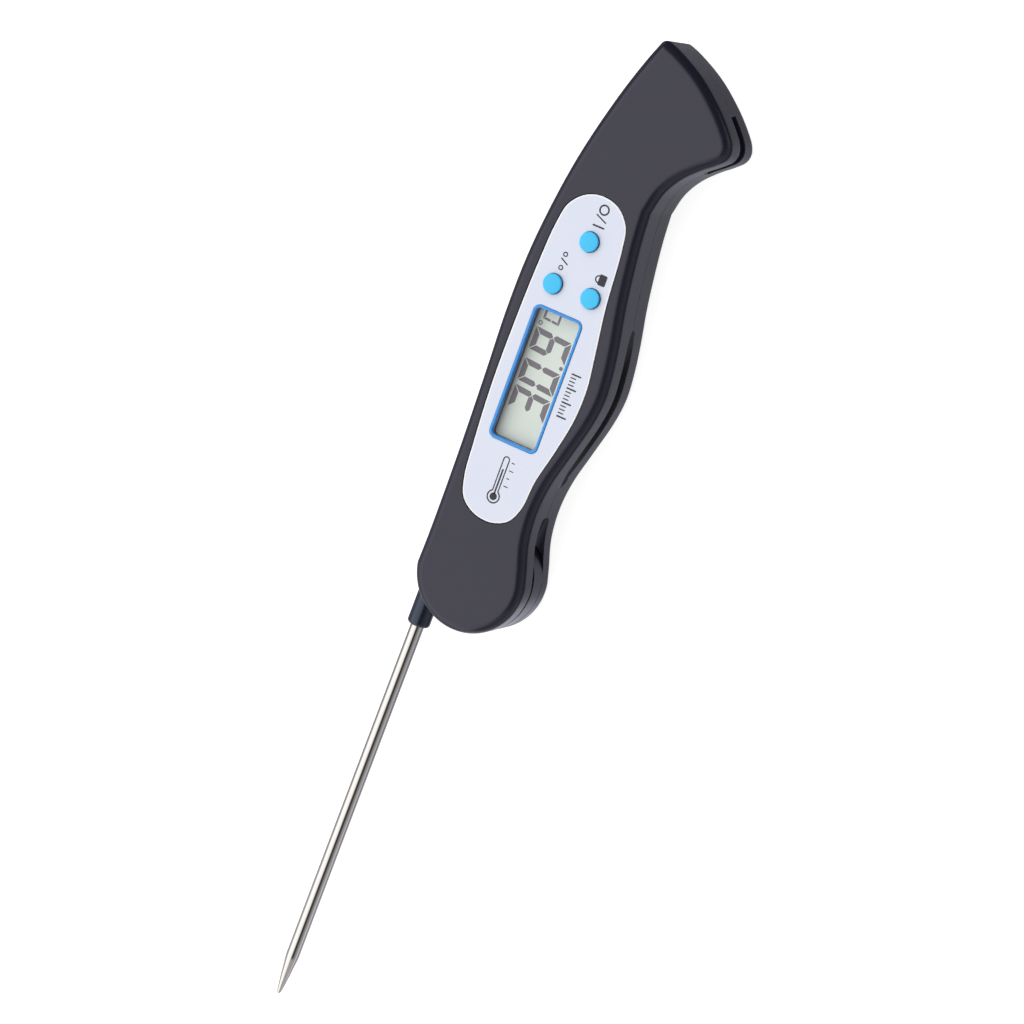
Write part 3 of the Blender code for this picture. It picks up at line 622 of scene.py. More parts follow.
# along: stretch of the lines on each axis; fine: how close they lie; depth: their relief, mm;
# stain: how much stains darken; edge: radius of softened edges, mm
def steel(name, colour, rough, along, fine=1800.0, depth=0.002, stain=1.0, edge=0.0):
    """Ground or rolled metal: fine lines, faint stains and finger marks."""
    g = Material(name)
    normal = g.bevel(edge)
    lines = g.noise(scale=fine, detail=2.0, rough=0.5, at=g.stretched(along))
    stains = g.noise(scale=260.0, detail=4.0, rough=0.55)
    broad = g.noise(scale=45.0, detail=4.0, rough=0.5)
    return g.principled({
        "Base Color": g.mix(g.span(stains, (0.35, 0.65)),
                            shade(colour, 1.0 - 0.05 * stain), colour),
        "Roughness": g.math('ADD', g.spread(broad, rough * 0.85, rough * 1.25),
                            g.spread(lines, -0.02, 0.03)),
        "Metallic": 1.0,
        "Normal": g.bump(lines, depth, normal)})


def rubbery(name, colour, rough):
    g = Material(name)
    mottle = g.noise(scale=900.0, detail=5.0, rough=0.6)
    return g.principled({
        "Base Color": g.mix(mottle, shade(colour, 0.8), shade(colour, 1.3)),
        "Roughness": g.spread(mottle, rough - 0.05, rough + 0.08),
        "Normal": g.bump(mottle, 0.01)})


# the dark handle plastic, and its specular level and tint
BLACK = (0.0163, 0.0160, 0.0285)
SATIN = (0.565, (0.89, 0.875, 1.0))


def face_film():
    """White face film: slightly blue, satin, orange-peel surface."""
    g = Material("face_film")
    peel = g.noise(scale=1500.0, detail=2.0, rough=0.5)
    broad = g.noise(scale=60.0, detail=3.0, rough=0.5)
    return g.principled({
        "Base Color": g.mix(g.spread(broad, 0.0, 1.0),
                            (0.800, 0.838, 0.960), (0.818, 0.854, 0.968)),
        "Roughness": g.spread(broad, 0.30, 0.38),
        "Normal": g.bump(peel, 0.0015, g.bevel(0.06))})


def face_film_highlight_edge():
    """Rolled edge of the face film, painted near-white: a painted highlight along the rim."""
    g = Material("face_film_highlight_edge")
    noise = g.noise(scale=800.0, detail=3.0, rough=0.5)
    return g.principled({
        "Base Color": g.mix(noise, (0.97, 0.975, 0.99), (1.0, 1.0, 1.0)),
        "Roughness": g.spread(noise, 0.22, 0.30),
        "Normal": g.bump(noise, 0.001)})


def printed_ink():
    """Screen-printed ink with slightly uneven cover."""
    g = Material("printed_ink")
    cover = g.noise(scale=2600.0, detail=4.0, rough=0.6)
    return g.principled({
        "Base Color": g.mix(g.span(cover, (0.35, 0.75)),
                            (0.016, 0.016, 0.024), (0.036, 0.036, 0.048)),
        "Roughness": g.spread(cover, 0.42, 0.55),
        "Normal": g.bump(cover, 0.002)})


def frame_blue():
    """Blue glossy frame, painted dark grey on its inner wall below the rim as a painted shade down
    the recess.
    """
    g = Material("frame_blue")
    height = g.split(g.coords)[2]
    noise = g.noise(scale=1200.0, detail=3.0, rough=0.5)
    blue = g.mix(noise, (0.046, 0.310, 0.815), (0.056, 0.340, 0.860))
    # painted shade: below the rim the inner wall turns dark grey and rougher
    throat_shade = g.span(height, (17.05 * MM, 17.35 * MM), (1.0, 0.0))
    return g.principled({
        "Base Color": g.mix(throat_shade, blue, (0.155, 0.142, 0.165)),
        "Roughness": g.math('ADD', g.spread(noise, 0.20, 0.28), g.product(throat_shade, 0.4)),
        "Normal": g.bump(noise, 0.0015)})


def cap_cyan(name):
    """Soft cyan button: satin dome, rubbed smoother at the middle of the top; its side wall is
    painted a darker blue, a painted shade.
    """
    g = Material("cap_cyan_" + name)
    height = g.split(g.coords)[2]
    noise = g.noise(scale=1700.0, detail=3.0, rough=0.55)
    # the scale differs from cap to cap, so that their mottling does
    broad = g.noise(scale=300.0 + 17.0 * len(name), detail=3.0, rough=0.5)
    # painted shade mask: 0 on the side wall, rising to 1 over the top
    top = g.span(height, (CAP_EDGE * MM, 18.80 * MM))
    return g.principled({
        # painted shade: the side wall gets a darker blue than the top
        "Base Color": g.mix(top, (0.006, 0.150, 0.430),
                            g.mix(broad, (0.022, 0.575, 0.990), (0.028, 0.600, 1.0))),
        "Roughness": g.math('SUBTRACT', g.spread(noise, 0.30, 0.34), g.product(top, 0.03)),
        "Specular IOR Level": 0.62,
        "Normal": g.bump(noise, 0.0004)})


def clear_window():
    """Clear acrylic: light passes straight through; its reflection shows a few hairlines."""
    g = Material("clear_window")
    clear = g.new("BsdfTransparent", {"Color": (0.985, 0.992, 0.985)})
    hairs = g.noise(scale=1400.0, detail=2.0, rough=0.5,
                    at=g.stretched((0.05, 1.0, 1.0), turn=0.9))
    gloss = g.new("BsdfGlossy", {"Roughness": g.span(hairs, (0.62, 0.75), (0.03, 0.12))})
    fresnel = g.new("Fresnel", {"IOR": 1.30}).outputs[0]
    facing = g.math('SUBTRACT', 1.0, g.new("NewGeometry").outputs["Backfacing"])
    return g.surface(g.mix_shader(g.product(fresnel, facing), clear.outputs[0],
                                  gloss.outputs[0]))


def lcd_glass(name, dark, light, rough, glow=0.0):
    """Liquid-crystal glass over its reflector; the glow is painted light that lifts the glass out
    of the frame's shade.
    """
    g = Material(name)
    broad = g.noise(scale=180.0, detail=4.0, rough=0.5)
    weave = g.noise(scale=6000.0, detail=1.0, rough=0.5)
    return g.principled({
        "Base Color": g.mix(g.spread(broad, 0.0, 1.0), dark, light),
        "Roughness": g.spread(weave, rough, rough + 0.08),
        "Normal": g.bump(weave, 0.0008),
        # painted light: the glow lifts the shaded parts of the glass
        "Emission Color": (1.0, 0.97, 0.97),
        "Emission Strength": glow})


def lcd_segment():
    g = Material("lcd_segment_dark")
    noise = g.noise(scale=700.0, detail=3.0, rough=0.5)
    return g.principled({
        "Base Color": g.mix(noise, (0.142, 0.122, 0.148), (0.168, 0.148, 0.174)),
        "Roughness": g.spread(noise, 0.35, 0.45),
        # painted light: a faint glow lifts the segments out of the frame's shade
        "Emission Color": (1.0, 0.97, 1.0),
        "Emission Strength": 0.04})


def board_mask():
    """Green solder mask over copper tracks, with tinned pads."""
    g = Material("board_mask")
    brick = g.new("TexBrick", {"Scale": 420.0, "Mortar Size": 0.06,
                               "Vector": g.stretched((1.0, 1.0, 1.0))})
    tracks = g.span(brick.outputs["Fac"], (0.2, 0.8))
    cells = g.new("TexVoronoi", {"Scale": 330.0, "Vector": g.coords})
    pads = g.span(cells.outputs["Distance"], (0.16, 0.12))
    noise = g.noise(scale=500.0, detail=4.0, rough=0.6)
    mask = g.mix(noise, (0.010, 0.110, 0.040), (0.014, 0.140, 0.055))
    colour = g.mix(tracks, mask, (0.030, 0.240, 0.090))
    return g.principled({
        "Base Color": g.mix(pads, colour, (0.62, 0.60, 0.55)),
        "Roughness": g.spread(noise, 0.28, 0.40),
        "Metallic": pads,
        "Normal": g.bump(g.math('ADD', tracks, pads), 0.02)})


def contact_strip(name):
    """Thin conducting leaves between insulating ones."""
    g = Material(name)
    pitch = 0.0006          # metres
    wave = g.new("TexWave", {"Scale": 1.0 / pitch, "Distortion": 0.2, "Vector": g.coords},
                 bands_direction='X')
    leaves = wave.outputs["Fac"]
    return g.principled({
        "Base Color": g.mix(g.span(leaves, (0.4, 0.6)), (0.03, 0.03, 0.03), (0.42, 0.10, 0.08)),
        "Roughness": 0.62,
        "Normal": g.bump(leaves, 0.01)})


# ===================================================================== shells
def channel(sections, mouth):
    """Tool along the folded probe, running out past the finger side to mouth.

    sections are (distance, half height, [(away from the spine, z)] of the closed side).
    """
    rings = []
    for distance, half, closed_side in sections:
        ends = [(mouth, PROBE_Z - half)], [(mouth, PROBE_Z + half)]
        rings.append([folded(distance, away) + (z,)
                      for away, z in ends[0] + closed_side + ends[1]])
    return loft(rings)


def sleeve_notch():
    """Round-bottomed channel for the folded sleeve, with a rounded blind end."""
    angles = [math.radians(a) for a in range(0, 181, 6)]
    sections = []
    for distance, radius in ((-2.0, NOTCH_R), (18.9, NOTCH_R), (19.45, NOTCH_R - 0.25),
                             (19.8, NOTCH_R - 0.8)):
        sections.append((distance, radius, [
            (PROBE_OFFSET - radius * math.sin(a), PROBE_Z - radius * math.cos(a))
            for a in angles]))
    return channel(sections, mouth=30.0)


def probe_groove():
    """Groove for the folded probe: round-roofed, but flat-roofed and narrower in the tail."""
    angles = [math.radians(a) for a in range(0, 181, 10)]
    sections = []
    # distance, flatness of the roof, half height
    for distance, flat, half in ((18.6, 0.0, 2.0), (103.0, 0.0, 2.0), (105.0, 1.0, 1.86),
                                 (144.0, 1.0, 1.86)):
        sections.append((distance, half, [
            (CHANNEL_TOP + (1 - flat) * half * (1 - math.sin(a)), PROBE_Z - half * math.cos(a))
            for a in angles]))
    return channel(sections, mouth=34.0)


def arm_recesses():
    """Tools for the room the arm needs in both shells."""
    hub_pocket = cylinder(0, 0, R_END + 0.3, CHEEK_LOW, POCKET_TOP, 144)
    spine_relief = block(-20, 6, 7.5, 22, CHEEK_LOW, POCKET_TOP)
    return hub_pocket, spine_relief, sleeve_notch(), probe_groove()


def bays(low, high):
    return prism(main_bay(), low, high), prism(TAIL_BAY, low, high)


def face_openings(display_gap, button_gap, sides):
    """Tools for the display frame and the buttons, with a gap all round each."""
    low, high = 12.0, 22.0
    plan = rounded_box(LCD_X, LCD_Y, FRAME_L + 2 * display_gap, FRAME_W + 2 * display_gap,
                       FRAME_R + display_gap)
    return [prism(plan, low, high)] + [cylinder(x, y, CAP_R + button_gap, low, high, sides)
                                       for _, x, y in BUTTONS]


def rounded_rings(edge, start, steps, direction):
    """Rings of the rounding between wall and flat face; direction 1 is up, -1 down."""
    out = []
    for k in range(1, steps + 1):
        a = math.pi / 2 * k / steps
        out.append(raised(inset(edge * (1 - math.cos(a))), start + direction * edge * math.sin(a)))
    return out


def wall_rings(*heights):
    """Straight part of the wall, ringed enough to keep its shading even beside the groove."""
    return [raised(inset(0.0), z) for z in heights]


def build_front_shell():
    low = SPLIT + SEAM
    top = THICK - FRONT_EDGE
    shell = loft([raised(inset(LIP), low)]
                 + wall_rings(low + LIP, 10.8, 12.2, 13.9, top)
                 + rounded_rings(FRONT_EDGE, top, 10, 1), "shell_front")
    cut(shell, *arm_recesses())
    cut(shell, *bays(5.0, CEILING))
    cut(shell, prism(offset(FACE_LOOP, -0.22), 17.15, 22.0))        # bed of the face plate
    cut(shell, *face_openings(display_gap=0.15, button_gap=0.3, sides=48))
    for _, x, y in CASE_SCREWS:
        cut(shell, cylinder(x, y, 1.15, 5.0, 14.6, 24))
    cut(shell, cylinder(0, 0, PIN_HOLE_R, 10.0, CEILING, 24))
    cut(shell, block(1.8, 0.4, 29.5, 3.0, 9.0, 13.4))               # passage, pivot to bay
    for x, y in FRONT_POSTS:
        add(shell, cylinder(x, y, 1.1, 11.4, CEILING + 0.4, 24))
    done(shell, "handle", "front_shell",
         moulded("handle_plastic_front", BLACK, rough=0.26, depth=0.0028, sheen=SATIN))


def build_rear_shell():
    high = SPLIT - SEAM
    shell = loft(rounded_rings(BACK_EDGE, BACK_EDGE, 7, -1)[::-1]
                 + wall_rings(BACK_EDGE, 3.1, 4.7, 6.2, high - LIP)
                 + [raised(inset(LIP), high)], "shell_rear")
    cut(shell, *arm_recesses())
    cut(shell, *bays(FLOOR, 12.0))
    # pivot boss, battery well and posts
    add(shell, cylinder(0, 0, 3.0, CHEEK_LOW - 1.0, CHEEK_HIGH - 0.3, 48))
    add(shell, cylinder(BAT_X, BAT_Y, 10.4, FLOOR - 0.6, 8.1, 72))
    for x, y in BACK_POSTS:
        add(shell, cylinder(x, y, 1.4, FLOOR - 0.5, 9.6, 24))
    # seat of the door, room for the cell, then entries and undercuts for the two lugs
    cut(shell, cylinder(BAT_X, BAT_Y, DOOR_R + 0.2, -3.0, 3.0, 96))
    cut(shell, cylinder(BAT_X, BAT_Y, CELL_R + 0.7, 1.0, 12.0, 72))
    lug_room = LUG_R + 0.25
    for turn in (0.0, 180.0):
        cut(shell, battery_sector(7.0, lug_room, turn + 75, turn + 105, -3.0, 2.35))
        cut(shell, battery_sector(7.0, lug_room, turn + 10, turn + 90, 1.1, 2.35))
    head_room = [(0, -1.0), (2.5, -1.0), (2.5, 0.0), (2.3, 0.2), (2.3, 1.7), (0, 1.7)]
    for _, x, y in CASE_SCREWS:
        cut(shell, lathe(head_room, x, y, 40))
        cut(shell, cylinder(x, y, 1.25, -3.0, 12.0, 24))
    cut(shell, cylinder(0, 0, PIN_HOLE_R, 2.2, 14.0, 24))
    done(shell, "handle", "rear_shell",
         moulded("handle_plastic_rear", BLACK, rough=0.27, depth=0.0028, sheen=SATIN),
         # lighter grey for the groove's lower face: painted light
         moulded("groove_painted_light_plastic", (0.055, 0.055, 0.072), rough=0.60, edge=0.0))

    # the lower face of the groove is made matt and painted a lighter grey, a painted light for the
    # bounce light it gets
    dir_x, dir_y = math.cos(FOLD_DIR), math.sin(FOLD_DIR)
    for poly in shell.data.polygons:
        centre = poly.center / MM
        away = centre.x * dir_y - centre.y * dir_x
        if (poly.normal.z > 0.25 and 6.3 < centre.z < 8.35 and away > CHANNEL_TOP - 0.1
                and 18.0 < centre.x < 104.0):
            poly.material_index = 1


# ================================================================ face plate
def build_face_plate():
    rings = [raised(FACE_LOOP, 17.45), raised(FACE_LOOP, FACE_EDGE)]
    for k in range(1, 5):
        a = math.pi / 2 * k / 4
        rings.append(raised(offset(FACE_LOOP, FACE_ROLL * (1 - math.cos(a))),
                            FACE_EDGE + FACE_ROLL * math.sin(a)))
    rings.append(raised(offset(FACE_LOOP, 0.36), FACE_TOP))
    plate = loft(rings, "label_plate")
    cut(plate, *face_openings(display_gap=0.06, button_gap=0.12, sides=64))
    done(plate, "handle", "face_plate", face_film(), face_film_highlight_edge())
    # the rolled rim outside this loop takes the painted highlight
    flat = offset(FACE_LOOP, 0.35)
    for poly in plate.data.polygons:
        centre = poly.center / MM
        if not within(flat, centre.x, centre.y):
            poly.material_index = 1


def marks(name, shapes, low, high, material, slot):
    """Thin raised pads; a shape is an outline, or a dict of an outline and the hole in it."""
    bm = bmesh.new()
    for shape in shapes:
        if isinstance(shape, dict):
            outer, inner = shape["outer"], shape["inner"]
            skin(bm, [raised(outer, low), raised(outer, high), raised(inner, high),
                      raised(inner, low)], closed=True)
        else:
            skin(bm, [raised(shape, low), raised(shape, high)])
    bmesh.ops.recalc_face_normals(bm, faces=bm.faces[:])
    done(linked(name, bm), "handle", slot, material, replaces=False, weighted=False)


def ring(x, y, radius, stroke, sides=40):
    return {"outer": circle(x, y, radius, sides), "inner": circle(x, y, radius - stroke, sides)}


def open_ring(x, y, radius, stroke, start, end, count=28):
    return arc(x, y, radius, start, end, count) + arc(x, y, radius - stroke, end, start, count)


def bar(x0, y0, x1, y1, stroke):
    """Straight stroke with round ends."""
    a = math.degrees(math.atan2(y1 - y0, x1 - x0))
    return arc(x1, y1, stroke / 2, a - 90, a + 90, 8) + arc(x0, y0, stroke / 2, a + 90, a + 270, 8)


def print_face_marks():
    # power: bar, slash and ring, beside its button
    ink = [bar(91.2, -1.9, 91.2, 0.9, 0.42), bar(92.6, -1.9, 93.8, 0.9, 0.32),
           ring(95.4, -0.5, 1.35, 0.40)]
    # unit: two degree rings either side of a stroke
    ink += [ring(78.6, 4.9, 0.64, 0.28, 28), bar(79.8, 3.6, 80.8, 5.5, 0.32),
            ring(82.0, 4.9, 0.64, 0.28, 28)]
    # hold: a closed padlock, body and shackle
    ink += [rounded_box(79.6, -6.2, 2.7, 2.0, 0.35, 5), open_ring(79.6, -5.25, 1.0, 0.32, 0, 180)]
    # plain scale under the display, every fourth mark long
    for k in range(13):
        x = 45.2 + 0.9 * k
        foot, stroke = (-9.55, 0.38) if k % 4 == 0 else (-8.55, 0.28)
        ink.append(bar(x, -7.25, x, foot, stroke))
    # outline thermometer at the pivot end: bulb, stem with its column, and four ticks
    y = 0.9
    ink += [open_ring(20.6, y, 1.75, 0.34, 32, 328, 40), circle(20.6, y, 0.95, 32),
            bar(22.0, 1.65, 30.2, 1.65, 0.30), bar(22.0, 0.15, 30.2, 0.15, 0.30),
            open_ring(30.2, y, 0.9, 0.30, -90, 90, 16), bar(21.4, y, 27.6, y, 0.42)]
    for x, foot in ((24.0, -1.75), (26.0, -1.35), (28.0, -1.75), (30.0, -1.35)):
        ink.append(bar(x, -0.75, x, foot, 0.24))
    marks("label_marks", ink, FACE_TOP - 0.02, FACE_TOP + 0.025, printed_ink(), "face_plate")


# =================================================================== display
def build_display_frame():
    # cross-section: (inset from the outside, height)
    roll = FRAME_ROLL
    quarter = [math.radians(a) for a in (0, 22, 45, 67, 90)]
    section = [(0.0, 15.9), (0.0, FACE_EDGE)]
    section += [(roll - roll * math.cos(a), FACE_EDGE + roll * math.sin(a)) for a in quarter[1:]]
    section += [(FRAME_RIM - roll + roll * math.sin(a), FACE_EDGE + roll * math.cos(a))
                for a in quarter]
    section.append((FRAME_RIM, 15.9))
    outer = rounded_box(LCD_X, LCD_Y, FRAME_L, FRAME_W, FRAME_R, 12)
    bezel = loft([raised(offset(outer, d), z) for d, z in section], "bezel", closed=True)
    done(bezel, "handle", "display_frame", frame_blue())


def figure(x, y, lit, wide=5.8, high=10.1, thick=1.42, gap=0.17, lean=0.07):
    """Lit bars of one seven-bar figure whose lower left corner is (x, y) before it leans."""
    mid, half = high / 2, thick / 2
    above, below = mid + half, mid - half
    right, top = wide - thick, high - thick
    bars = {
        "a": [(gap, high), (wide - gap, high), (right - gap, top), (thick + gap, top)],
        "b": [(wide, high - gap), (right, top - gap), (right, above),
              (wide - half, mid + gap / 2), (wide, above)],
        "c": [(wide, gap), (wide, below), (wide - half, mid - gap / 2), (right, below),
              (right, thick + gap)],
        "d": [(gap, 0), (thick + gap, thick), (right - gap, thick), (wide - gap, 0)],
        "e": [(0, gap), (thick, thick + gap), (thick, below), (half, mid - gap / 2), (0, below)],
        "f": [(0, high - gap), (0, above), (half, mid + gap / 2), (thick, above),
              (thick, top - gap)],
        "g": [(half + gap, mid), (thick + gap, above), (right - gap, above),
              (wide - half - gap, mid), (right - gap, below), (thick + gap, below)],
    }
    return [[(x + u + (v - mid) * lean, y + v) for u, v in bars[k]] for k in lit]


def show_reading():
    foot = -3.53
    lit = figure(41.61, foot, "abgcd") + figure(48.61, foot, "abcdef")
    lit += figure(56.71, foot, "abcdfg")
    # decimal point, degree ring and the small unit letter
    lit += [circle(55.51, -3.08, 0.5, 24), ring(63.96, 5.92, 0.56, 0.24, 24)]
    lit += figure(64.96, 1.27, "aefd", wide=2.9, high=4.5, thick=0.58, gap=0.06)
    marks("lcd_reading", lit, 15.2, 15.225, lcd_segment(), "lcd_front_glass")


# =================================================================== buttons
def build_button_caps():
    profile = [(0, 14.0), (1.3, 14.0), (1.3, 14.4), (3.1, 14.4), (3.1, 15.2), (CAP_R, 15.2)]
    profile.append((CAP_R, CAP_EDGE))
    profile += arc(CAP_R - CAP_ROUND, CAP_EDGE, CAP_ROUND, 0, 78, 9)[1:]
    # low dome up to the pole
    radius, height = profile[-1]
    steps = 8
    for k in range(1, steps):
        t = k / steps
        profile.append((radius * (1 - t), height + (CAP_TOP - height) * math.sin(math.pi / 2 * t)))
    profile.append((0, CAP_TOP))
    for name, x, y in BUTTONS:
        cap = lathe(profile, x, y, 64, "cap_" + name)
        done(cap, name + "_button", "button_cap_" + name, cap_cyan(name))


# ================================================================= probe arm
def build_hub():
    low, high = HUB_LOW, HUB_HIGH
    step = low + 0.8            # shallow recess round the bore, underneath
    hub = lathe([(HUB_BORE, step), (HUB_BORE, high), (HUB_R - 0.27, high)]
                + arc(HUB_R - 0.24, high - 0.24, 0.24, 80, 10, 6)
                + [(HUB_R, high - 0.27), (HUB_R, low + 2.6), (HUB_R, low), (6.5, low),
                   (6.5, step)], sides=160, name="arm_hub")
    add(hub, lathe([(0, 0.5), (SLEEVE_R, 0.5), (SLEEVE_R, SLEEVE_END - 0.9)]
                   + arc(SLEEVE_R - 0.9, SLEEVE_END - 0.9, 0.9, 10, 90, 9)
                   + [(0, SLEEVE_END)], sides=72, on_probe=True))
    # bore for the tube, flared at the sleeve's mouth
    bore, flare = TUBE_R + 0.12, TUBE_R + 0.35
    cut(hub, lathe([(0, 3.5), (bore, 3.5), (bore, 19.1), (flare, 19.4), (flare, 30.0),
                    (0, 30.0)], on_probe=True))
    # passage between the tube's bore and the hub's own
    cut(hub, block(-6.3, 2.2, -3.8, PROBE_OFFSET + 0.6, 7.4, 14.0))
    cant_about_pivot(hub)
    done(hub, "probe_arm", "probe_hub",
         moulded("arm_plastic", BLACK, rough=0.26, depth=0.0028, edge=0.1, sheen=SATIN),
         moulded("sleeve_plastic", (0.014, 0.018, 0.028), rough=0.15, grain=3600.0,
                 depth=0.0012, edge=0.15, sheen=(0.75, (0.68, 0.80, 1.0))),
         # near-black for the hub's upper face: painted shade in the gap under the front shell
         rubbery("hub_top_painted_shade", (0.0022, 0.0022, 0.003), rough=0.85))
    # glossier plastic beyond the hub's rim; near-black on its upper face, a painted shade in the
    # gap under the front shell
    corners = hub.data.vertices
    for poly in hub.data.polygons:
        reach = max(math.hypot(corners[v].co.x, corners[v].co.y) for v in poly.vertices)
        if reach > (HUB_R + 0.05) * MM:
            poly.material_index = 1
        elif poly.normal.z > 0.3 and poly.center.z > (high - 0.25) * MM:
            poly.material_index = 2


def build_tube():
    """Steel tube with its drawn point, open at the hub."""
    sides = 96
    # (radius, distance)
    outside = [(TUBE_R, TUBE_START), (TUBE_R, 60.0), (TUBE_R, TUBE_TAPER - 1.0),
               (TUBE_R - 0.015, TUBE_TAPER - 0.3), (1.66, TUBE_TAPER + 0.6), (1.46, 114.6),
               (1.22, 117.0), (0.98, 119.0), (0.76, 120.7), (0.62, 121.6), (0.50, 122.05),
               (0.36, 122.34), (0.20, 122.52)]
    inside = [(TUBE_BORE, TUBE_START), (TUBE_BORE, 109.4), (0.8, 110.3)]
    bm = bmesh.new()
    outer, inner = [[[bm.verts.new(round_probe(radius, distance, 2 * math.pi * k / sides))
                      for k in range(sides)] for radius, distance in profile]
                    for profile in (outside, inside)]
    tip = bm.verts.new(round_probe(0.0, TUBE_TIP, 0.0))
    bore_end = bm.verts.new(round_probe(0.0, 110.5, 0.0))
    for rows, pole in ((outer, tip), (inner, bore_end)):
        for lower, upper in pairs(rows + [[pole]]):
            band(bm, lower, upper)
    band(bm, outer[0], inner[0])
    tube = welded("probe_rod", bm)
    cant_about_pivot(tube)
    done(tube, "probe_arm", "probe_tube",
         steel("probe_steel", (0.70, 0.675, 0.636), rough=0.085, along=(7.0, 0.3, 0.3),
               fine=2600.0, depth=0.0006, stain=0.5), weighted=False)


# ============================================================= battery door
def build_door():
    door = lathe([(0, 0.15), (DOOR_R - 0.45, 0.15)]
                 + arc(DOOR_R - 0.35, 0.5, 0.35, -80, 0, 6)
                 + [(DOOR_R, 2.05), (6.2, 2.05), (6.2, 2.6), (0, 2.6)],
                 BAT_X, BAT_Y, 120, "door_disc")
    for turn in (0.0, 180.0):
        add(door, battery_sector(7.4, LUG_R, turn + 20, turn + 44, 1.35, 2.05, 12))
    # slot across the outside, and a fine groove round it
    coin_slot = turned(rounded_box(0, 0, 10.5, 1.7, 0.8), BAT_X, BAT_Y, 32.0)
    cut(door, prism(coin_slot, -2.0, 1.25))
    cut(door, lathe([(7.15, -1.0), (7.45, -1.0), (7.45, 0.28), (7.3, 0.36), (7.15, 0.28)],
                    BAT_X, BAT_Y, 120))
    done(door, "door", "battery_door",
         moulded("door_plastic", shade(BLACK, 0.95), rough=0.34, wear=0.6, sheen=SATIN))


# =================================================================== screws
def build_screws():
    head, shank, tip = 1.9, 0.85, 14.2
    profile = [(0, 0.4), (head * 0.70, 0.4)] + arc(head - 0.55, 0.95, 0.55, -80, 0, 6)
    profile += [(head, 1.4), (shank, 1.4)]
    thread, pitch, relief = 3.0, 0.62, 0.12
    while thread < tip - 1.6:
        profile += [(shank - relief, thread), (shank + relief, thread + 0.28),
                    (shank - relief, thread + 0.56)]
        thread += pitch
    profile += [(0.5, tip - 0.7), (0, tip)]
    # cross recess in the head
    arm, half = head * 0.62, 0.26
    cross = [(half, half), (half, arm), (-half, arm), (-half, half), (-arm, half), (-arm, -half),
             (-half, -half), (-half, -arm), (half, -arm), (half, -half), (arm, -half),
             (arm, half)]
    for k, (name, x, y) in enumerate(CASE_SCREWS):
        number = str(k + 1)
        screw = lathe(profile, x, y, 40, "screw_" + number)
        cut(screw, prism(turned(cross, x, y, 17.0 + 40.0 * k), -1.0, 0.95))
        done(screw, "handle", name,
             steel("screw_zinc_" + number, (0.52, 0.52, 0.54), rough=0.26 + 0.02 * k,
                   along=(1, 1, 6), depth=0.003, stain=1.5, edge=0.05),
             # near-black in the cross recess: painted shade
             rubbery("screw_recess_shade_" + number, (0.012, 0.012, 0.013), rough=0.6),
             weighted=False)
        # the cross recess takes the painted shade
        for poly in screw.data.polygons:
            centre = poly.center / MM
            if 0.42 < centre.z < 0.97 and math.hypot(centre.x - x, centre.y - y) < arm * 1.02:
                poly.material_index = 1


# ============================================= finishes of the CAD pieces kept
def finish_kept_pieces():
    kept = {
        "display_window": clear_window(),
        # the front glass glows faintly: painted light lifting the frame's shade on it
        "lcd_front_glass": lcd_glass("lcd_front", (0.735, 0.782, 0.716), (0.757, 0.802, 0.738),
                                     rough=0.25, glow=0.072),
        "lcd_rear_glass": lcd_glass("lcd_rear", (0.520, 0.560, 0.480), (0.560, 0.600, 0.510),
                                    rough=0.18),
        "lcd_holder": moulded("holder_white", (0.62, 0.62, 0.59), rough=0.48, grain=3000.0,
                              depth=0.004, edge=0.1),
        "contact_strip_spine": contact_strip("strip_a"),
        "contact_strip_finger": contact_strip("strip_b"),
        "circuit_board": board_mask(),
        "chip_cover": moulded("chip_resin", (0.012, 0.012, 0.013), rough=0.28, grain=900.0,
                              depth=0.02, edge=0.2),
        "battery_cell": steel("cell_nickel", (0.70, 0.69, 0.66), rough=0.20, along=(1, 1, 0.2),
                              fine=1500.0, stain=1.2, edge=0.1),
        "contact_positive": steel("spring_nickel_a", (0.68, 0.64, 0.54), rough=0.24,
                                  along=(1, 6, 1), fine=1500.0, edge=0.05),
        "contact_negative": steel("spring_nickel_b", (0.66, 0.63, 0.54), rough=0.26,
                                  along=(1, 6, 1), fine=1500.0, edge=0.05),
        "door_seal": rubbery("seal_rubber", (0.014, 0.014, 0.014), rough=0.62),
        "wave_washer": steel("washer_spring_steel", (0.56, 0.56, 0.55), rough=0.26,
                             along=(4, 4, 1), stain=1.5),
        "pivot_pin": steel("pin_steel", (0.58, 0.58, 0.57), rough=0.20, along=(1, 1, 8)),
        "sensor_bead": moulded("bead_glass", (0.26, 0.09, 0.03), rough=0.18, grain=900.0,
                               depth=0.01, edge=0.0),
        "sensor_lead_1": rubbery("lead_red", (0.42, 0.025, 0.018), rough=0.45),
        "sensor_lead_2": rubbery("lead_black", (0.02, 0.02, 0.02), rough=0.45),
    }
    for name, _, _ in BUTTONS:
        kept["switch_body_" + name] = moulded(
            "switch_case_" + name, (0.024, 0.024, 0.026), rough=0.46, grain=2600.0,
            depth=0.004, edge=0.06)
        kept["switch_stem_" + name] = moulded(
            "switch_stem_" + name, (0.50, 0.49, 0.46), rough=0.40, grain=2600.0,
            depth=0.003, edge=0.06)
    for name, material in kept.items():
        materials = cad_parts[name].data.materials
        materials.clear()
        materials.append(material)


# ============================================================ floor and light
# What the floor sends back to the object, by elevation of the sight line:
# (degrees from +Y over the top to -Y, brightness)
FLOOR_LEVELS = [(0, 0.42), (18, 0.36), (28, 0.13), (46, 0.13), (57, 0.40), (66, 0.46),
                (104, 0.46), (118, 0.26), (180, 0.26)]
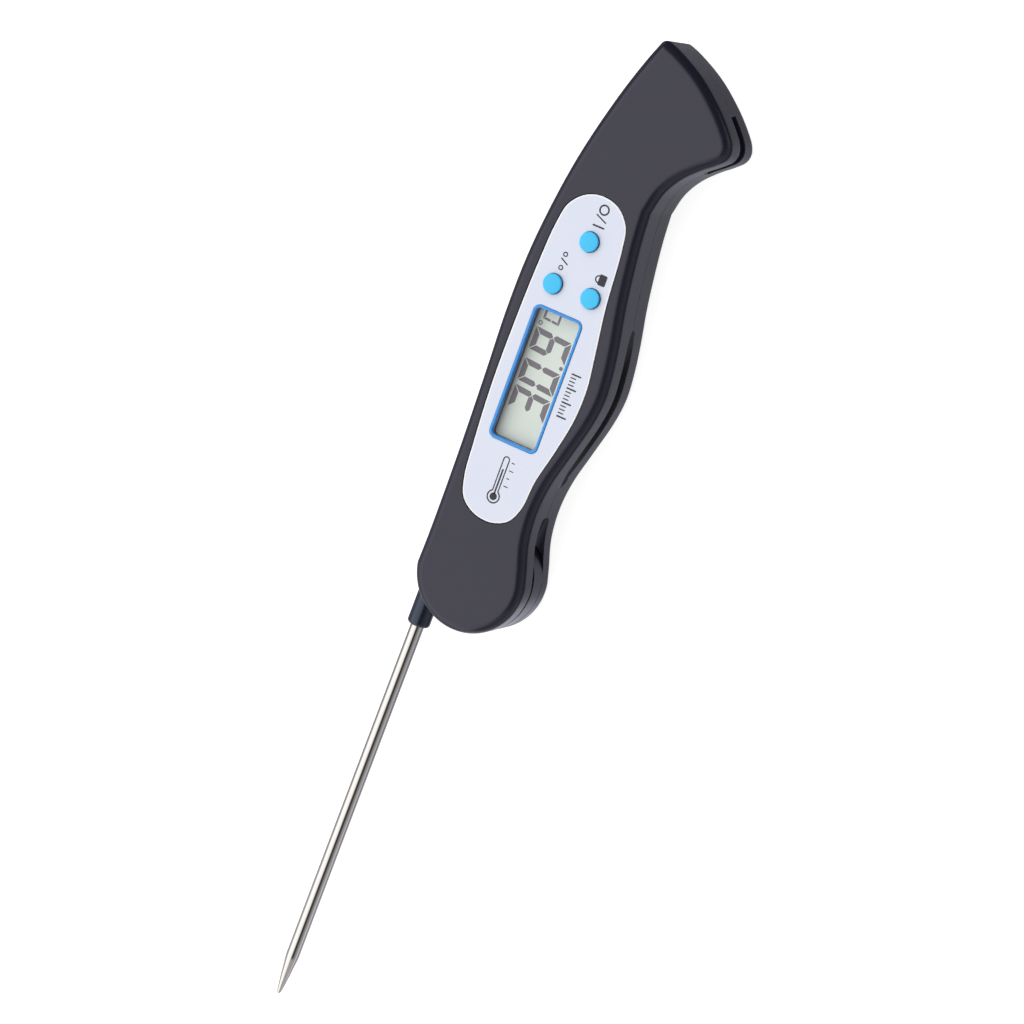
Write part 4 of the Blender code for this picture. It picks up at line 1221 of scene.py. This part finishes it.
# Studio brightness in the same angle: a broad panel overhead and towards the spine,
# a dark strip beyond it, pale walls
STUDIO_LEVELS = [(0, 0.50), (14, 0.48), (22, 1.22), (36, 1.55), (58, 1.50), (76, 1.34),
                 (88, 1.30), (96, 0.95), (103, 0.30), (110, 0.05), (124, 0.04), (134, 0.14),
                 (150, 0.32), (168, 0.46), (180, 0.50)]


def floor_paper():
    """Bright paper to the camera; a shaped glow to every other ray."""
    g = Material("floor_paper")
    fibre = g.noise(scale=900.0, detail=5.0, rough=0.6)
    paper = g.new("BsdfDiffuse", {"Color": g.mix(fibre, (0.50, 0.50, 0.50), (0.53, 0.53, 0.53))})
    lift = g.new("Emission", {"Strength": 0.86})
    seen = g.new("AddShader", {0: paper.outputs[0], 1: lift.outputs[0]})

    geometry = g.new("NewGeometry").outputs
    toward_x, toward_y, toward_z = g.split(geometry["Incoming"])
    tones = g.tone_ramp(g.half_turn(toward_z, toward_y), FLOOR_LEVELS, tint=(0.97, 0.97, 1.10))
    # brighter pool round the pivot end, for sight lines leaning to +X
    place_x = g.split(geometry["Position"])[0]
    pool = g.product(g.span(toward_x, (0.22, 0.36), (0.0, 1.1)),
                     g.span(place_x, (0.010, -0.006)))
    # darker towards the tail's side of the room
    dim = g.product(g.span(toward_x, (-0.34, -0.14), (0.42, 1.0)),
                    g.span(toward_x, (-0.62, -0.42), (0.25, 1.0)))
    # low sight lines along the spine and finger sides meet the pale far floor
    low = g.product(g.span(g.math('ABSOLUTE', toward_y), (0.50, 0.64)),
                    g.span(toward_z, (0.22, 0.34), (1.0, 0.0)))
    low = g.product(low, g.span(toward_x, (-0.30, -0.44)))
    far_floor = g.product(low, 2.4)
    dim = g.math('ADD', g.product(dim, g.math('SUBTRACT', 1.0, low)), far_floor)
    sent = g.new("Emission", {"Color": tones,
                              "Strength": g.product(g.math('ADD', 1.0, pool), dim)})
    camera_ray = g.new("LightPath").outputs["Is Camera Ray"]
    return g.surface(g.mix_shader(camera_ray, sent.outputs[0], seen.outputs[0]))


def build_floor():
    half, z = 3.0, -0.00015     # metres
    bm = bmesh.new()
    bm.faces.new([bm.verts.new((x * half, y * half, z))
                  for x, y in ((-1, -1), (1, -1), (1, 1), (-1, 1))])
    floor = linked("floor", bm)
    floor.data.materials.append(floor_paper())


def build_world():
    """Soft studio for the object, plain white for the camera."""
    world = bpy.data.worlds.new("studio")
    bpy.context.scene.world = world
    g = Nodes(world, "OutputWorld")
    x, y, z = g.split(g.new("TexCoord").outputs["Generated"])
    ray = g.new("LightPath").outputs
    walls = g.tone_ramp(g.half_turn(z, y), STUDIO_LEVELS, tint=(0.5, 0.5, 0.505))
    # the dark strip pales at its far end, where only the probe's taper mirrors it
    far_end = g.product(g.span(x, (-0.42, -0.50)), g.span(x, (-0.80, -0.90), (1.0, 0.0)))
    walls = g.mix(g.product(far_end, ray["Is Glossy Ray"]), walls, (0.24, 0.235, 0.23),
                  blend='LIGHTEN')
    # diffuse rays get a little more light
    base_gain, diffuse_extra = 2.0, 0.23
    gain = g.math('MULTIPLY_ADD', ray["Is Diffuse Ray"], diffuse_extra, base_gain)
    # in reflections the panel ends at a dark flag on the tail's side
    flag = g.span(g.math('ARCTAN2', x, z), (math.radians(15.0), math.radians(31.0)), (0.0, 0.95))
    # the flag leaves the low wall on the finger side open
    opened = g.product(g.span(y, (-0.60, -0.70)), g.span(z, (0.45, 0.30)))
    barred = g.product(flag, g.math('SUBTRACT', 1.0, opened))
    barred = g.product(barred, ray["Is Glossy Ray"])
    studio = g.new("Background", {"Color": walls, "Strength": base_gain})
    g.feed(studio.inputs["Strength"], g.product(gain, g.math('SUBTRACT', 1.0, barred)))
    plain = g.new("Background", {"Color": (1, 1, 1), "Strength": 1.0})
    g.feed(g.output.inputs[0], g.mix_shader(ray["Is Camera Ray"], studio.outputs[0],
                                            plain.outputs[0]))


def set_camera():
    scene = bpy.context.scene
    scene.view_settings.view_transform = 'Standard'
    scene.view_settings.look = 'None'
    camera = bpy.data.objects.new("camera", bpy.data.cameras.new("camera"))
    scene.collection.objects.link(camera)
    camera.location = (0.20021, -0.29368, 0.82611)
    camera.rotation_euler = tuple(math.radians(v) for v in (-4.0827, 22.5198, -68.4349))
    camera.data.lens = 127.312
    camera.data.sensor_width = 36.0
    camera.data.clip_start = 0.05
    camera.data.clip_end = 20.0
    scene.camera = camera


# ================================================================== assembly
build_front_shell()
build_rear_shell()
build_face_plate()
print_face_marks()
build_display_frame()
show_reading()
build_button_caps()
build_hub()
build_tube()
build_door()
build_screws()
finish_kept_pieces()
build_floor()
build_world()
set_camera()
